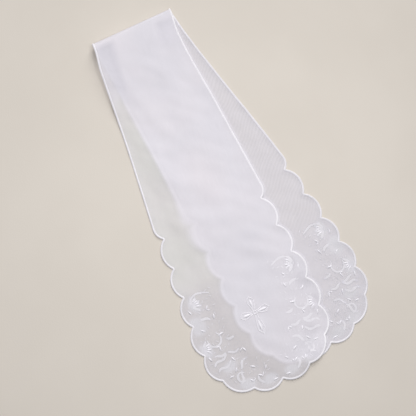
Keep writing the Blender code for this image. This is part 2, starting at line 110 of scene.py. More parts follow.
def arc_stretch(start, end, rise, step):
    """Points and normals of the arc from start to end that stands off its chord by rise.
    Its radius is (half chord^2 + rise^2) / (2 rise), and a point is the centre plus radius times
    its normal, which swings evenly from one end to the other."""
    half = np.linalg.norm(end - start) / 2
    radius = (half**2 + rise**2) / (2 * rise)
    forward = (end - start) / (2 * half)
    left = np.array((-forward[1], forward[0]))
    centre = (start + end) / 2 - left * (radius - rise)
    swing = math.asin(half / radius)
    angle = np.linspace(-swing, swing, math.ceil(2 * swing * radius / step) + 1)[:, None]
    normal = np.sin(angle) * forward + np.cos(angle) * left
    return centre + radius * normal, normal


def turn_at(point, normal_in, normal_out, step):
    """At a notch the edge turns on the spot: one point, and a fan of normals between two arcs."""
    a0, a1 = (math.atan2(n[1], n[0]) for n in (normal_in, normal_out))
    count = max(3, math.ceil(abs(a1 - a0) * EDGING_WIDTH / step))
    return np.tile(point, (count - 1, 1)), polar(np.linspace(a0, a1, count + 1)[1:-1])


def quarter_edge(step):
    """Points and normals of the cut's edge from mid-length to the tip, on the right side."""
    stretches = [side_stretch(step)]
    stretches.append(arc_stretch(stretches[0][0][-1], NOTCHES[0], CORNER_RISE, step))
    for first, second in zip(NOTCHES[:-1], NOTCHES[1:]):
        scallop = arc_stretch(first, second, SCALLOP_RISE, step)
        stretches += [turn_at(first, stretches[-1][1][-1], scallop[1][0], step), scallop]
    tip = (NOTCHES[-1:], np.array(((1.0, 0.0),)))
    stretches += [turn_at(NOTCHES[-1], stretches[-1][1][-1], tip[1][0], step), tip]
    edge = np.hstack([np.concatenate(values) for values in zip(*stretches)])
    new = np.concatenate(([True], np.abs(np.diff(edge, axis=0)).sum(1) > SAME_PLACE))
    return edge[new, :2], edge[new, 2:]


def edge_loop(step):
    """The whole edge, once round: the quarter, mirrored across and then along the band."""
    loop = []
    for values in quarter_edge(step):
        upper = np.concatenate((values, values[-2::-1] * (1, -1)))
        loop.append(np.concatenate((upper, (upper[::-1] * (-1, 1))[1:-1])))
    return loop


chords = np.diff(NOTCHES, axis=0)
OUTWARD = np.arctan2(chords[:, 0], -chords[:, 1])
CROWNS = (NOTCHES[:-1] + NOTCHES[1:]) / 2 + SCALLOP_RISE * polar(OUTWARD)
edge_points = edge_loop(EDGE_STEP)[0]

# %% [markdown]
# The fold
#
# Folded cloth isn't pressed flat here: it turns in a soft roll, higher at the left, and the upper
# limb comes down from it, climbs over the lower limb's edging and rests partly on it and partly on
# the surface beside it. Blender's cloth simulation could drape this, but it never repeats a fold that
# someone laid by hand. A formula does: past the crease a point goes round a half circle, and from
# there its height blends from the roll's top to what lies underneath. Long, shallow bell-shaped ridges,
# uneven in size and direction, are the slack of the stiff cloth. Both limbs have finer creases and
# puckers too, and where the upper limb lies on the lower one it takes up its puckers, because two thin
# layers that touch can't have a pucker each.

# %% How the band is laid
HALF_WALL = 0.5 * MM
CREASE_STATION, CREASE_TURN, CREASE_PLACE = -3.85 * MM, math.radians(4.0), (-2.43 * MM, 195.65 * MM)
CREASE_OVERRUN = 1.3
ROLL_RADIUS, SETTLE = (6.0 * MM, 2.2 * MM), (85.0 * MM, 60.0 * MM)  # at the crease's left and right end
LOWER_DRIFT, LOWER_DRIFT_LENGTH = 5.4 * MM, 200.0 * MM
UPPER_COURSE = [(0, 0), (25, 2.3), (110, 0.8), (200, 0.9), (290, 0)]  # mm past the roll, mm to the left
OVER_EDGING, OVER_CLOTH = 1.1 * MM, 0.9 * MM
FOOT, SHOULDER, PLATEAU, SETTLED = -20 * MM, -5 * MM, 12 * MM, 32 * MM
PLAN_START, PLAN_POINTS = -80 * MM, 12

WAVES = [  # station, across, direction, half length, half width, height (mm and degrees)
    (30, 10, 80, 34, 12, -0.8), (40, 4, 62, 42, 11, 0.7), (55, -38, 20, 24, 9, -0.7),
    (66, -22, 20, 34, 10, 1.5), (98, 18, 8, 60, 13, 1.0), (140, -28, 12, 48, 10, 1.3),
    (184, 6, 48, 46, 12, 1.4), (215, 10, 70, 40, 14, 1.6), (232, -6, 82, 52, 12, 1.0),
    (262, 40, 30, 34, 12, 0.9), (373, 37, -65, 22, 7, 2.0),
]
CREASES = [  # finer ones, that only the thin cloth shows
    (58, 14, 35, 22, 4.5, 0.45), (86, -30, 8, 26, 4, 0.4), (118, -4, 24, 30, 5, 0.35),
    (160, 30, -10, 34, 5, 0.4), (206, -34, 30, 24, 5, 0.6), (250, 18, 60, 26, 6, 0.3),
    (-120, 34, -12, 40, 6, 0.45), (-190, 44, 10, 34, 6, 0.5), (-252, 40, 28, 30, 6, 0.5),
    (-300, 46, -20, 26, 6, 0.45), (-344, 26, 40, 24, 5, 0.45),
]
DAPPLES = [  # a wave's radians for each mm along and across, its bend, and the bend's own radians
    (0.31, 0.22, 1.3, 0, 0.11), (0.17, -0.36, 1.7, 0.07, 0), (0.09, 0.27, 2.1, 0.05, 0),
]
DAPPLE_HEIGHT = 0.085 * MM
FINE_SETS_IN = 50 * MM


def smooth(x, low=0, high=1):
    """0 at low to 1 at high with level ends: 3s^2 - 2s^3 of the share s of the way."""
    share = np.clip((x - low) / (high - low), 0, 1)
    return share * share * (3 - 2 * share)


def crease_coordinates(station, across):
    """Distance past the crease and distance along it: the cut turned by the crease's own turn."""
    return turned(station - CREASE_STATION, across, -CREASE_TURN)


def lower_drift(past):
    """How far the lower limb leans to the right, at a distance past the crease."""
    return LOWER_DRIFT * smooth(-past, 0, LOWER_DRIFT_LENGTH)


def lower_limb_cut(x, y):
    """Station and across of the lower limb's cloth at a place of the plan: the drift taken off, then
    the crease's turn undone."""
    station, across = turned(y, x - lower_drift(y), CREASE_TURN)
    return station + CREASE_STATION, across


def along_crease(ends, along):
    """A value that runs evenly from the crease's left end to its right end, and a little on."""
    share = np.clip(along / NECK_HALF_WIDTH, -CREASE_OVERRUN, CREASE_OVERRUN) / 2 + 0.5
    return ends[0] + (ends[1] - ends[0]) * share


def facing(station, across):
    """Which way the cloth's outer side looks: from -1, down, on the lower limb, to 1, up, on the upper.
    It is the sine of the turn round the roll."""
    past, along = crease_coordinates(station, across)
    return np.sin(np.clip(past / along_crease(ROLL_RADIUS, along), -math.pi / 2, math.pi / 2))


print("soft waves and fine creases:", len(WAVES), len(CREASES))

# %% Slack in the cloth


def bell(station, across, at, side, turn, half_length, half_width):
    """A hill 1 high round a place: exp(-(along/half length)^2 - (over/half width)^2)."""
    along, over = turned(station - at, across - side, -turn)
    return np.exp(-(along / half_length) ** 2 - (over / half_width) ** 2)


def ridges(table, station, across):
    """Sum of the table's bells, each times its height."""
    return sum(rise * MM * bell(station / MM, across / MM, at, side, math.radians(degrees), length, width)
               for at, side, degrees, length, width, rise in table)


def dapples(station, across):
    """Faint puckers of the stiff cloth: the sum of three sine waves that cross each other, each with
    its phase bent by another sine."""
    s, t = station / MM, across / MM
    return DAPPLE_HEIGHT * sum(np.sin(along * s + over * t + bend * np.sin(by_s * s + by_t * t))
                               for along, over, bend, by_s, by_t in DAPPLES)


SHORTEST = 1e-18  # square of a length that stands for none, where the edge turns on the spot


def distance_inside(points, polygon):
    """Distance of points to a closed polygon's edge, positive inside, from their nearest edge."""
    gap = np.full(len(points), np.inf)
    inside = np.zeros(len(points), bool)
    for first, run in zip(polygon, np.roll(polygon, -1, axis=0) - polygon):
        rel = points - first
        share = np.clip(rel @ run / max(run @ run, SHORTEST), 0, 1)
        gap = np.minimum(gap, np.hypot(*(rel - share[:, None] * run).T))
        straddles = (first[1] > points[:, 1]) != (first[1] + run[1] > points[:, 1])
        rise = run[1] if run[1] else 1.0
        inside ^= straddles & (points[:, 0] < first[0] + (points[:, 1] - first[1]) / rise * run[0])
    return np.where(inside, gap, -gap)


def lower_limb_edge():
    """Plan of the lower limb, drawn over the crowns of its scallops, with the crease as its X axis."""
    stations = np.linspace(PLAN_START, SIDE_END, PLAN_POINTS)
    side = np.concatenate((np.stack((stations, side_half_width(stations)), 1), CROWNS)) * (-1, 1)
    whole = np.concatenate((side, side[::-1] * (1, -1)))
    past, along = crease_coordinates(whole[:, 0], whole[:, 1])
    return np.stack((along + lower_drift(past), past), 1)


LOWER_EDGE = lower_limb_edge()
print("points of the lower limb's plan:", len(LOWER_EDGE))

# %% Fold the cut
NEARBY = 0.05 * MM


def fold(station, across):
    """Middle of the cloth. Round the roll: radius times (cosine, 1 + sine) of distance past the
    crease over radius. Beyond it the height goes from the roll's top to the bed plus the ridges."""
    past, along = crease_coordinates(station, across)
    radius = along_crease(ROLL_RADIUS, along)
    half_roll = math.pi / 2 * radius
    turn = np.clip(past / radius, -math.pi / 2, math.pi / 2)
    beyond = np.maximum(past - half_roll, 0)
    x = along + lower_drift(past)
    for (start, before), (end, after) in zip(UPPER_COURSE[:-1], UPPER_COURSE[1:]):
        x -= (after - before) * MM * smooth(beyond / MM, start, end)
    y = -half_roll + radius * np.cos(turn) - np.maximum(np.abs(past) - half_roll, 0)
    inside = distance_inside(np.stack((x, y), 1), LOWER_EDGE)
    on_lower = smooth(inside, FOOT, SHOULDER)
    bed = OVER_EDGING * on_lower - (OVER_EDGING - OVER_CLOTH) * smooth(inside, PLATEAU, SETTLED)
    settled = smooth(beyond / along_crease(SETTLE, along))
    upper = 2 * radius * (1 - settled) + (bed + ridges(WAVES, station, across)) * settled
    z = np.where(beyond > 0, upper, radius * (1 + np.sin(turn)))
    under, taken = lower_limb_cut(x, y), on_lower * (beyond > 0)
    fine = ridges(CREASES, station, across) + dapples(station, across) * (1 - taken)
    fine += (ridges(CREASES, *under) + dapples(*under)) * taken
    z += fine * smooth(np.abs(past), 0, FINE_SETS_IN)
    return np.stack((x + CREASE_PLACE[0], y + CREASE_PLACE[1], z + HALF_WALL), 1)


def place(station, across, out):
    """A point of the cut in the folded stole, moved off the middle of the cloth by out, along the
    cross product of the two directions of the cloth there. Keeps the arrays' shape."""
    station, across, out = np.broadcast_arrays(*(np.asarray(v, float) for v in (station, across, out)))
    s, t, h = station.ravel(), across.ravel(), NEARBY
    normal = np.cross(fold(s + h, t) - fold(s - h, t), fold(s, t + h) - fold(s, t - h))
    normal /= np.linalg.norm(normal, axis=1)[:, None]
    return (fold(s, t) + normal * out.ravel()[:, None]).reshape(station.shape + (3,))


print("upper limb's tip notch lies at", np.round(place(NOTCHES[-1:, 0], 0.0, 0.0)[0], 3))

# %% [markdown]
# From arrays to meshes
#
# NumPy hands Blender whole arrays: the corners as one list, the faces as another. One helper makes
# the object, stores a place on the cloth or on the thread as a UV map in millimetres, so that weave
# and stitches follow it, and lets the piece ride on the stole's only body. A solid could be built from
# Blender's primitives too, but none of them follows a folded band.

# %% Mesh helpers
SHARP_FROM = math.radians(55)


def signed_volume(points, faces):
    """Sum over the faces' fans of triangles of (a cross b) dot c, over 6. Negative means inside out."""
    corners = points[faces]
    total = 0.0
    for k in range(1, faces.shape[1] - 1):
        total += np.einsum("ij,ij->", np.cross(corners[:, 0], corners[:, k]), corners[:, k + 1])
    return total / 6


def mesh_piece(name, points, quads, uv, values, caps=()):
    """An object from points, quads, a UV pair and further named numbers for each point, and triangles
    that cap tubes. Faces without caps are turned outwards here."""
    points = points.reshape(-1, 3)
    turn = -1 if not len(caps) and signed_volume(points, quads) < 0 else 1
    data = bpy.data.meshes.new(name)
    data.from_pydata(points.tolist(), [], quads[:, ::turn].tolist() + np.asarray(caps).tolist())
    corner = np.empty(len(data.loops), np.int32)
    data.loops.foreach_get("vertex_index", corner)
    layer = data.uv_layers.new(name="cut")
    layer.data.foreach_set("uv", uv.reshape(-1, 2)[corner].astype(np.float32).ravel())
    for key, numbers in values.items():
        attribute = data.attributes.new(key, "FLOAT", "POINT")
        attribute.data.foreach_set("value", numbers.astype(np.float32).ravel())
    data.shade_smooth()
    data.set_sharp_from_angle(angle=SHARP_FROM)
    piece = bpy.data.objects.new(name, data)
    bpy.context.scene.collection.objects.link(piece)
    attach(piece, "root")
    print(f"{name}: {len(points)} points, {2 * len(quads) + len(caps)} triangles")
    return piece


def grid_faces(rows, columns, closed=(0, 0)):
    """Quads of a grid of points, row by row, which may be closed on itself either way. A face's normal
    is row direction cross column direction."""
    index = np.arange(rows * columns).reshape(rows, columns)
    index = np.pad(index, ((0, closed[0]), (0, closed[1])), mode="wrap")
    a, b, c, d = index[:-1, :-1], index[1:, :-1], index[1:, 1:], index[:-1, 1:]
    return np.stack((a, b, c, d), -1).reshape(-1, 4)


def run_along(points):
    """Distance along a line of points from its start: the sum of the lengths so far."""
    return np.concatenate(([0], np.cumsum(np.linalg.norm(np.diff(points, axis=0), axis=1))))


# %% [markdown]
# The embroidered border
#
# The border is an ordinary meadow: blossoms seen from the side, rings, wavy tendrils, many small
# padded leaves, and veils, which are patches of open stitching, worked in thread of the cloth's own
# white. Digitizing software would store a stitch file. Here a short table says in which scallop each
# figure stands, measured from the scallop's crown, and each kind is then drawn from a few sizes.
# The right half is mirrored to the left, and the lower limb shows its wrong side, where the same
# figures lie mirrored again.

# %% Where the figures stand
FIRST_FIGURED = 2  # the scallop, or the notch before it
FIGURES = {  # scallop, inwards from its crown, towards the tip (mm), turn (degrees), size
    "bloom": [(0, 12, -4, -22, 1.0), (1, 8, 9, 8, 0.95)],
    "leaf": [(0, 9, 1, 60, 0.9), (0, 30, 11, -80, 1.0), (1, 15, -8, 40, 0.9), (1, 30, 1, -15, 1.1),
        (2, 10, -9, 80, 1.0), (2, 28, 4, 80, 1.0), (2, 24, 14, -40, 0.9), (3, 27, 10, 85, 1.0),
        (3, 13, -8, 50, 0.9), (4, 9, 8, 80, 1.0), (4, 23, 2, 30, 0.8)],
    "pair": [(0, 26, 1, -60, 0.9), (1, 24, 14, 100, 0.9), (2, 42, 3, 75, 1.0), (3, 14, 12, -70, 0.9),
        (4, 17, -5, -60, 1.0)],
    "ring": [(1, 22, 4, 70, 1.2), (3, 15, 2, -110, 0.8)],
    "tendril": [(0, 17, 9, 30, 0.6), (1, 33, 6, 20, 0.5), (2, 14, -7, 8, 0.7), (2, 9, -1, -8, 1.0),
        (2, 27, -3, 12, 0.7), (2, 9, 6, -4, 1.0), (3, 8, 3, -6, 0.8), (3, 22, -2, 14, 0.8),
        (4, 8, -4, -20, 0.6)],
    "veil": [(0, 15, -5, 70, 1.2), (0, 12, 12, 20, 1.0), (1, 11, 11, 60, 1.2), (1, 12, -9, 10, 0.8),
        (2, 21, 8, 0, 1.0), (3, 10, 9, 70, 1.1), (4, 11, 3, 80, 1.0)],
}


def figure_axes(kind):
    """Place, heading and size of each figure of a kind on the right half of an end. Heading 0 in the
    table looks inwards from the scallop's crown."""
    scallop, inwards, tipwards, turn, size = np.array(FIGURES[kind]).T
    scallop = scallop.astype(int) + FIRST_FIGURED
    outward = OUTWARD[scallop]
    at = CROWNS[scallop] - (inwards * MM)[:, None] * polar(outward)
    at += (tipwards * MM)[:, None] * polar(outward - math.pi / 2)
    return at, outward + math.pi + np.radians(turn), size


print("figures on a quarter of the cut:", sum(map(len, FIGURES.values())))

# %% [markdown]
# The organza
#
# Organza is a stiff, sheer plain weave of fine twisted yarn. It is far thinner than the CAD wall, so
# the piece is a closed shell 0.3 mm thick along the middle of that wall, and near the rim it rises to
# the shoulder of its binding, so that no groove opens there. Its grid runs in rows from edge to edge.
# On the plain part a row is straight, and round the end the rows become chevrons that lead from a
# spine on the centre line out to the scallops, so the scallops have as many points as they need and
# the middle stays light. The first and last row are folded on themselves, and their halves share
# points.
#
# Painting the finish by hand would fix it to one size, so the points carry numbers for it instead.
# One says how far inside the other limb's outline a point lies, because two layers of sheer cloth look
# much whiter than one. That outline is blurred beside the first hidden scallops, where the layers
# stand a little apart. The others mark the lower limb, the veils, the border, a patch with a warm cast
# and the rim of the upper limb.

# %% Build the organza shell
CLOTH_THICKNESS, CLOTH_STEP = 0.3 * MM, 2.2 * MM
RIM_INSET = EDGING_WIDTH - 0.4 * MM
RIM_LIFT, LIFT_REACH = 0.45 * MM, 8.0 * MM
SPINE_END = 344.0 * MM
COLUMNS = 22
LIMB_TURNS = (6.0 * MM, -6.0 * MM)


def cloth_rows(step):
    """Cut coordinates of the grid: spine * (1 - share) + rim * share, for shares from -1 to 1."""
    points, normals = quarter_edge(step)
    rim = points - normals * RIM_INSET
    run = run_along(rim)
    side_run = run[len(side_stretch(step)[0]) - 1]
    along_end = np.clip((run - side_run) / (run[-1] - side_run), 0, 1)
    on_end = SIDE_END + (SPINE_END - SIDE_END) * along_end
    spine = np.where(along_end > 0, on_end, np.minimum(rim[:, 0], SIDE_END))
    rim = np.concatenate((rim[:0:-1] * (-1, 1), rim))
    spine = np.concatenate((-spine[:0:-1], spine))
    share = np.linspace(-1, 1, 2 * COLUMNS + 1)
    return spine[:, None] * (1 - np.abs(share)) + rim[:, :1] * np.abs(share), rim[:, 1:] * share


def cloth_shell(station, across):
    """Quads of both faces and of the rim between them, with the tips welded, and the cut's points."""
    rows, columns = station.shape
    index = np.arange(rows * columns).reshape(rows, columns)
    for row in (0, -1):
        index[row, :COLUMNS] = index[row, :COLUMNS:-1]
    outer = index.ravel()[grid_faces(rows, columns)]
    rim = np.concatenate((index[:, -1], index[-2:0:-1, 0]))
    far = rows * columns
    walls = np.stack((rim, np.roll(rim, -1), np.roll(rim, -1) + far, rim + far), 1)
    faces = np.concatenate((outer, outer[:, ::-1] + far, walls))
    used, compact = np.unique(faces, return_inverse=True)
    cut = np.tile(np.stack((station, across), -1).reshape(-1, 2), (2, 1))[used]
    return compact.reshape(-1, 4), cut, np.where(used < far, 0.5, -0.5) * CLOTH_THICKNESS


cloth_faces, cloth_cut, cloth_out = cloth_shell(*cloth_rows(CLOTH_STEP))
cloth_station, cloth_across = cloth_cut.T
cloth_depth = distance_inside(cloth_cut, edge_points)
cloth_out += RIM_LIFT * smooth(cloth_depth, LIFT_REACH, 0) * facing(cloth_station, cloth_across)
cloth_points = place(cloth_station, cloth_across, cloth_out)
cloth_past = crease_coordinates(cloth_station, cloth_across)[0]
is_lower = smooth(cloth_past, *LIMB_TURNS)
print("points of the organza shell:", len(cloth_points))

# %% Mark the cloth for its finish
FAR_INSIDE, PLAN_EVERY = 12.0 * MM, 3
VEIL_HALF_LENGTH, VEIL_HALF_WIDTH = 8.0 * MM, 5.2 * MM
BORDER_SETS_IN = (255.0 * MM, 285.0 * MM)
DOUBLE_FROM, DOUBLE_TO = -3.6, 1.2  # mm inside the other limb's outline
BLUR, BLURRED_AT, BLUR_REACH = 1.6, 212.0 * MM, 24.0 * MM
WARM_PATCH = (172 * MM, 8 * MM, 0, 42 * MM, 26 * MM)  # station, across, turn, half length, half width
RIM_STRIP, PAST_ROLL = (25.0 * MM, 15.0 * MM), (6.0 * MM, 14.0 * MM)


def plan_of_limb(side):
    """A limb's outline as seen from above, from every third point of the edge. side is 1 for the upper
    limb and -1 for the lower."""
    past, _ = crease_coordinates(edge_points[:, 0], edge_points[:, 1])
    chosen = edge_points[past * side > 0]
    return place(chosen[:, 0], chosen[:, 1], 0.0)[::PLAN_EVERY, :2]


UPPER_PLAN, LOWER_PLAN = plan_of_limb(1), plan_of_limb(-1)


def inside_other_limb(points, lower):
    """Millimetres that points lie inside the other limb's outline, seen from above. lower is their
    share in the lower limb."""
    over, under = (distance_inside(points[:, :2], plan) for plan in (LOWER_PLAN, UPPER_PLAN))
    return np.clip(over * (1 - lower) + under * lower, -FAR_INSIDE, FAR_INSIDE) / MM


def blurred(inside):
    """Distances short of the full whiteness are drawn out by 1 + blur * exp(-(way/reach)^2) along the
    upper limb, so that the outline below looks softer there."""
    blur = 1 + BLUR * np.exp(-((cloth_station - BLURRED_AT) / BLUR_REACH) ** 2) * (1 - is_lower)
    return np.where(inside < DOUBLE_TO, (inside - DOUBLE_TO) / blur + DOUBLE_TO, inside)


def veiled(station, across):
    """Sum of bells on the veils' axes, times their sizes, the same on every quarter and at most 1."""
    return np.minimum(sum(
        size * bell(np.abs(station), np.abs(across), *at, heading, VEIL_HALF_LENGTH, VEIL_HALF_WIDTH)
        for at, heading, size in zip(*figure_axes("veil"))
    ), 1)


organza_sheet = mesh_piece("organza_sheet", cloth_points, cloth_faces, cloth_cut / MM, {
    "inside_other": blurred(inside_other_limb(cloth_points, is_lower)),
    "lower_limb": is_lower,
    "veiled": veiled(cloth_station, cloth_across),
    "bordered": smooth(np.abs(cloth_station), *BORDER_SETS_IN),
    "shot": bell(cloth_station, cloth_across, *WARM_PATCH),
    "near_rim": smooth(cloth_depth, *RIM_STRIP) * smooth(cloth_past, *PAST_ROLL),
})
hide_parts("organza_band")

# %% [markdown]
# The satin edging
#
# A machine binds the raw edge with stitches laid side by side across it, 0.4 mm apart on the real
# thing. Here a bead is carried along the cut's edge and swells once for each pair of stitches, which
# is coarse enough to keep the mesh small and fine enough to read as thread. The bead's section is
# nearly an ellipse, lower on its inner side, where it runs out onto the cloth. At a notch the edge
# turns on the spot and the bead's middle goes round it in a fan, as the needle does.

# %% Sweep the edging
STITCH_PITCH, POINTS_PER_STITCH = 0.9 * MM, 4
STITCH_SWELL = 0.06
BEAD_AROUND, BEAD_FULLNESS, INNER_DROP = 8, 0.95, 0.6
SOURCE_STEP = 0.3 * MM


def even_edge(spacing, inset):
    """Points and normals of the edge, evenly apart along a line that lies inside it by inset."""
    edge = np.hstack(edge_loop(SOURCE_STEP))
    edge = np.vstack((edge, edge[:1]))
    run = run_along(edge[:, :2] - edge[:, 2:] * inset)
    count = round(run[-1] / spacing)
    at = np.arange(count) * run[-1] / count
    points, normals = np.split(np.stack([np.interp(at, run, column) for column in edge.T], 1), 2, axis=1)
    return points, normals / np.linalg.norm(normals, axis=1)[:, None], at


def ripple(way, pitch, depth):
    """Swelling of laid threads along a way: 1 - depth + depth * cos(turns of the pitch)."""
    return 1 - depth + depth * np.cos(2 * math.pi * way / pitch)


def fuller(wave):
    """A sine or cosine raised towards a square: sign times |value| to the power of the fullness."""
    return np.sign(wave) * np.abs(wave) ** BEAD_FULLNESS


def edging():
    """Half width * cos and half height * sin round the bead, both times the stitches' ripple.
    Above the cloth the height also falls inwards, by the square of the share of the width."""
    points, normals, run = even_edge(STITCH_PITCH / POINTS_PER_STITCH, EDGING_WIDTH / 2)
    around = np.arange(BEAD_AROUND) / BEAD_AROUND * 2 * math.pi
    swell = ripple(run, STITCH_PITCH, STITCH_SWELL)[:, None]
    inwards = EDGING_WIDTH / 2 * (1 - fuller(np.cos(around)) * swell)
    upwards = facing(points[:, 0], points[:, 1])[:, None]
    on_top = np.clip(np.sign(np.sin(around)) * upwards, 0, 1)
    lowered = 1 - INNER_DROP * on_top * (inwards / EDGING_WIDTH) ** 2
    out = (EDGING_HEIGHT / 2 - HALF_WALL) * upwards
    out = out + EDGING_HEIGHT / 2 * fuller(np.sin(around)) * swell * lowered
    where = points[:, None] - normals[:, None] * inwards[..., None]
    uv = np.stack(np.broadcast_arrays(run[:, None], around * EDGING_WIDTH / 2), -1) / MM
    bead = place(where[..., 0], where[..., 1], out)
    inside = inside_other_limb(bead[:, 0], (1 - upwards[:, 0]) / 2)
    quads = grid_faces(len(run), BEAD_AROUND, closed=(1, 1))
    return bead, quads, uv, {"inside_other": np.repeat(inside, BEAD_AROUND)}


edging_stitches = mesh_piece("edging_stitches", *edging())
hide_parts("satin_edging")

# %% [markdown]
# One tool for all the embroidery
#
# Leaves, petals, stems and single stitches are all the same thing to an embroidery machine: thread laid
# along a path, with a width. So one function makes closed tubes along many paths at once. It takes, at
# every step of every path, the half width and the height of the section, and the separate threads are
# a ripple in them. The section is flat below, where it lies on the cloth, and round above. Curves with
# a bevel would give round wires only, which look like piping and not like satin stitch.

# %% Tubes along paths on the cloth
BURIED = 0.05 * MM
UNDERSIDE, END_RISE = 0.15, 0.4  # shares of the height, below the cloth and at a tube's ends


def laid_thread(station, across, half_width, height, side, around=8):
    """Closed tubes on the cloth. All arrays have one row for each path and one column for each step.
    Sideways is half width * cos, and out is height * sin above the cloth and a little of it below.
    Returns points, quads, caps, UV (distance along, distance across, in mm) and how far the points
    lie inside the other limb's outline."""
    station, across, half_width, height = np.broadcast_arrays(station, across, half_width, height)
    paths, steps = station.shape
    ds, dt = np.gradient(station, axis=1), np.gradient(across, axis=1)
    length = np.hypot(ds, dt)
    run = np.cumsum(length, axis=1)
    angle = (np.arange(around) + 0.5) / around * 2 * math.pi
    sideways = half_width[..., None] * np.cos(angle)
    rise = height[..., None] * np.where(np.sin(angle) > 0, np.sin(angle), UNDERSIDE * np.sin(angle))

    def with_ends(round_the_tube, at_the_ends):
        """One row for each path: the tube's points, then the two middles of its ends."""
        return np.concatenate((round_the_tube.reshape(paths, -1), at_the_ends[:, [0, -1]]), 1)

    s = with_ends(station[..., None] - (dt / length)[..., None] * sideways, station)
    t = with_ends(across[..., None] + (ds / length)[..., None] * sideways, across)
    out = with_ends(rise, height * END_RISE) + CLOTH_THICKNESS / 2 - BURIED
    uv = np.stack((with_ends(np.repeat(run, around, axis=1), run), with_ends(sideways, 0 * run)), -1)
    ring, end = np.arange(around), steps * around
    first = np.stack((np.full(around, end), ring, (ring + 1) % around), 1)
    last = np.stack((first[:, 0] + 1, first[:, 2] + end - around, ring + end - around), 1)
    shift = (np.arange(paths) * (end + 2))[:, None, None]
    quads = (grid_faces(steps, around, closed=(0, 1)) + shift).reshape(-1, 4)
    caps = (np.concatenate((first, last)) + shift).reshape(-1, 3)
    points = place(s, t, out * side).reshape(-1, 3)
    turn = 1 if signed_volume(points, quads) + signed_volume(points, caps) > 0 else -1
    inside = inside_other_limb(points, (1 - side) / 2)
    return points, quads[:, ::turn], caps[:, ::turn], uv.reshape(-1, 2) / MM, inside


def thread_piece(name, laid):
    """Joins several laid threads into one piece."""
    points, quads, caps, uv, inside = zip(*laid)
    first = np.cumsum([0] + [len(part) for part in points[:-1]])
    quads, caps = (np.concatenate([part + n for part, n in zip(faces, first)]) for faces in (quads, caps))
    points, uv, inside = (np.concatenate(parts) for parts in (points, uv, inside))
    piece = mesh_piece(name, points, quads, uv, {"inside_other": inside}, caps)
    return piece


print("thread is sunk into the cloth by", BURIED / MM, "mm")

# %% [markdown]
# Figures stitched on the cloth
#
# Every figure is a set of paths on the flat cut. Leaves and petals are short straight paths with a full
# width in their middle, tendrils and rings are longer ones with an even width. One function makes them
# into thread, mirrors them across the band and repeats them on the other end. Placing each figure by
# hand would take four times the table, and the two halves would never quite match.

# %% Helpers for the figures
BLUNT = 0.02  # share of a lens that is missing at each end
LEAF_STEPS, LEAF_FULLNESS = 25, 0.7


def carried(at, heading, x, y):
    """Paths whose own x runs along the heading from a place, and y to the left of it."""
    ahead, left = polar(heading)[:, None], polar(heading + math.pi / 2)[:, None]
    return at[:, None] + x[..., None] * ahead + y[..., None] * left


def straight(at, heading, length, steps):
    """Straight paths of a length about their middles, one row for each."""
    x = np.linspace(-0.5, 0.5, steps) * np.reshape(length, (-1, 1))
    return carried(at, heading, x, 0 * x)


def fanned(at, heading, size, count, spread, reach):
    """Axes in a fan from each place: headings evenly over the spread, moved out by reach * size."""
    headings = (heading[:, None] + np.linspace(-0.5, 0.5, count) * spread).ravel()
    sizes = np.repeat(size, count)
    return np.repeat(at, count, axis=0) + (reach * sizes)[:, None] * polar(headings), headings, sizes


def lens(steps, fullness):
    """Width of a leaf along its axis: sine of pi times the share, to the power of the fullness."""
    return np.sin(math.pi * np.linspace(BLUNT, 1 - BLUNT, steps)) ** fullness


def embroider(name, paths, half_width, rise, around=8):
    """One piece: the paths of an end's right half, mirrored across, and both again on the other end."""
    half_width, rise, _ = np.broadcast_arrays(half_width, rise, paths[..., 0])
    both = np.concatenate((paths, paths * (1, -1)))
    half_width, rise = np.tile(half_width, (2, 1)), np.tile(rise, (2, 1))
    return thread_piece(name, [
        laid_thread(both[..., 0] * side, both[..., 1], half_width, rise, side, around)
        for side in (1, -1)
    ])


def embroider_lenses(name, axes, length, half_width, rise, profile, threads=1.0):
    """Straight figures on their axes: length, half width * profile and rise * profile, each times the
    figure's size. threads is a ripple of the height alone."""
    at, heading, size = axes
    paths = straight(at, heading, length * size, len(profile))
    profile = profile * size[:, None]
    return embroider(name, paths, half_width * profile, rise * profile * threads)


print("width of a lens at its ends:", lens(LEAF_STEPS, LEAF_FULLNESS)[[0, -1]].round(2))

# %% Padded leaves
LEAF_LENGTH, LEAF_HALF_WIDTH, LEAF_RISE = 5.2 * MM, 0.85 * MM, 0.8 * MM
PAIR_SPREAD, PAIR_GAP, SMALL_LEAF = math.radians(78), 0.3 * MM, 0.7
STROKES_IN_BLOOM, STROKE_FAN, STROKE_REACH, STROKE_SIZE = 4, math.radians(62), 6.2 * MM, 0.9
THREAD_PITCH, LEAF_RIPPLE = 0.55 * MM, 0.1

bloom_axes = figure_axes("bloom")
pair_at, pair_heading, pair_size = figure_axes("pair")
second_heading, second_size = pair_heading + PAIR_SPREAD, pair_size * SMALL_LEAF
second_at = pair_at - (0.5 * LEAF_LENGTH * pair_size)[:, None] * polar(pair_heading)
second_at += (PAIR_GAP + 0.5 * LEAF_LENGTH * second_size)[:, None] * polar(second_heading)
stroke_at, stroke_heading, stroke_size = fanned(*bloom_axes, STROKES_IN_BLOOM, STROKE_FAN, STROKE_REACH)
leaf_axes = [np.concatenate(parts) for parts in zip(
    figure_axes("leaf"), (pair_at, pair_heading, pair_size), (second_at, second_heading, second_size),
    (stroke_at, stroke_heading, stroke_size * STROKE_SIZE),
)]
threads = ripple(np.linspace(0, LEAF_LENGTH, LEAF_STEPS), THREAD_PITCH, LEAF_RIPPLE)
leaves = embroider_lenses("leaves", leaf_axes, LEAF_LENGTH, LEAF_HALF_WIDTH, LEAF_RISE,
                          lens(LEAF_STEPS, LEAF_FULLNESS), threads)

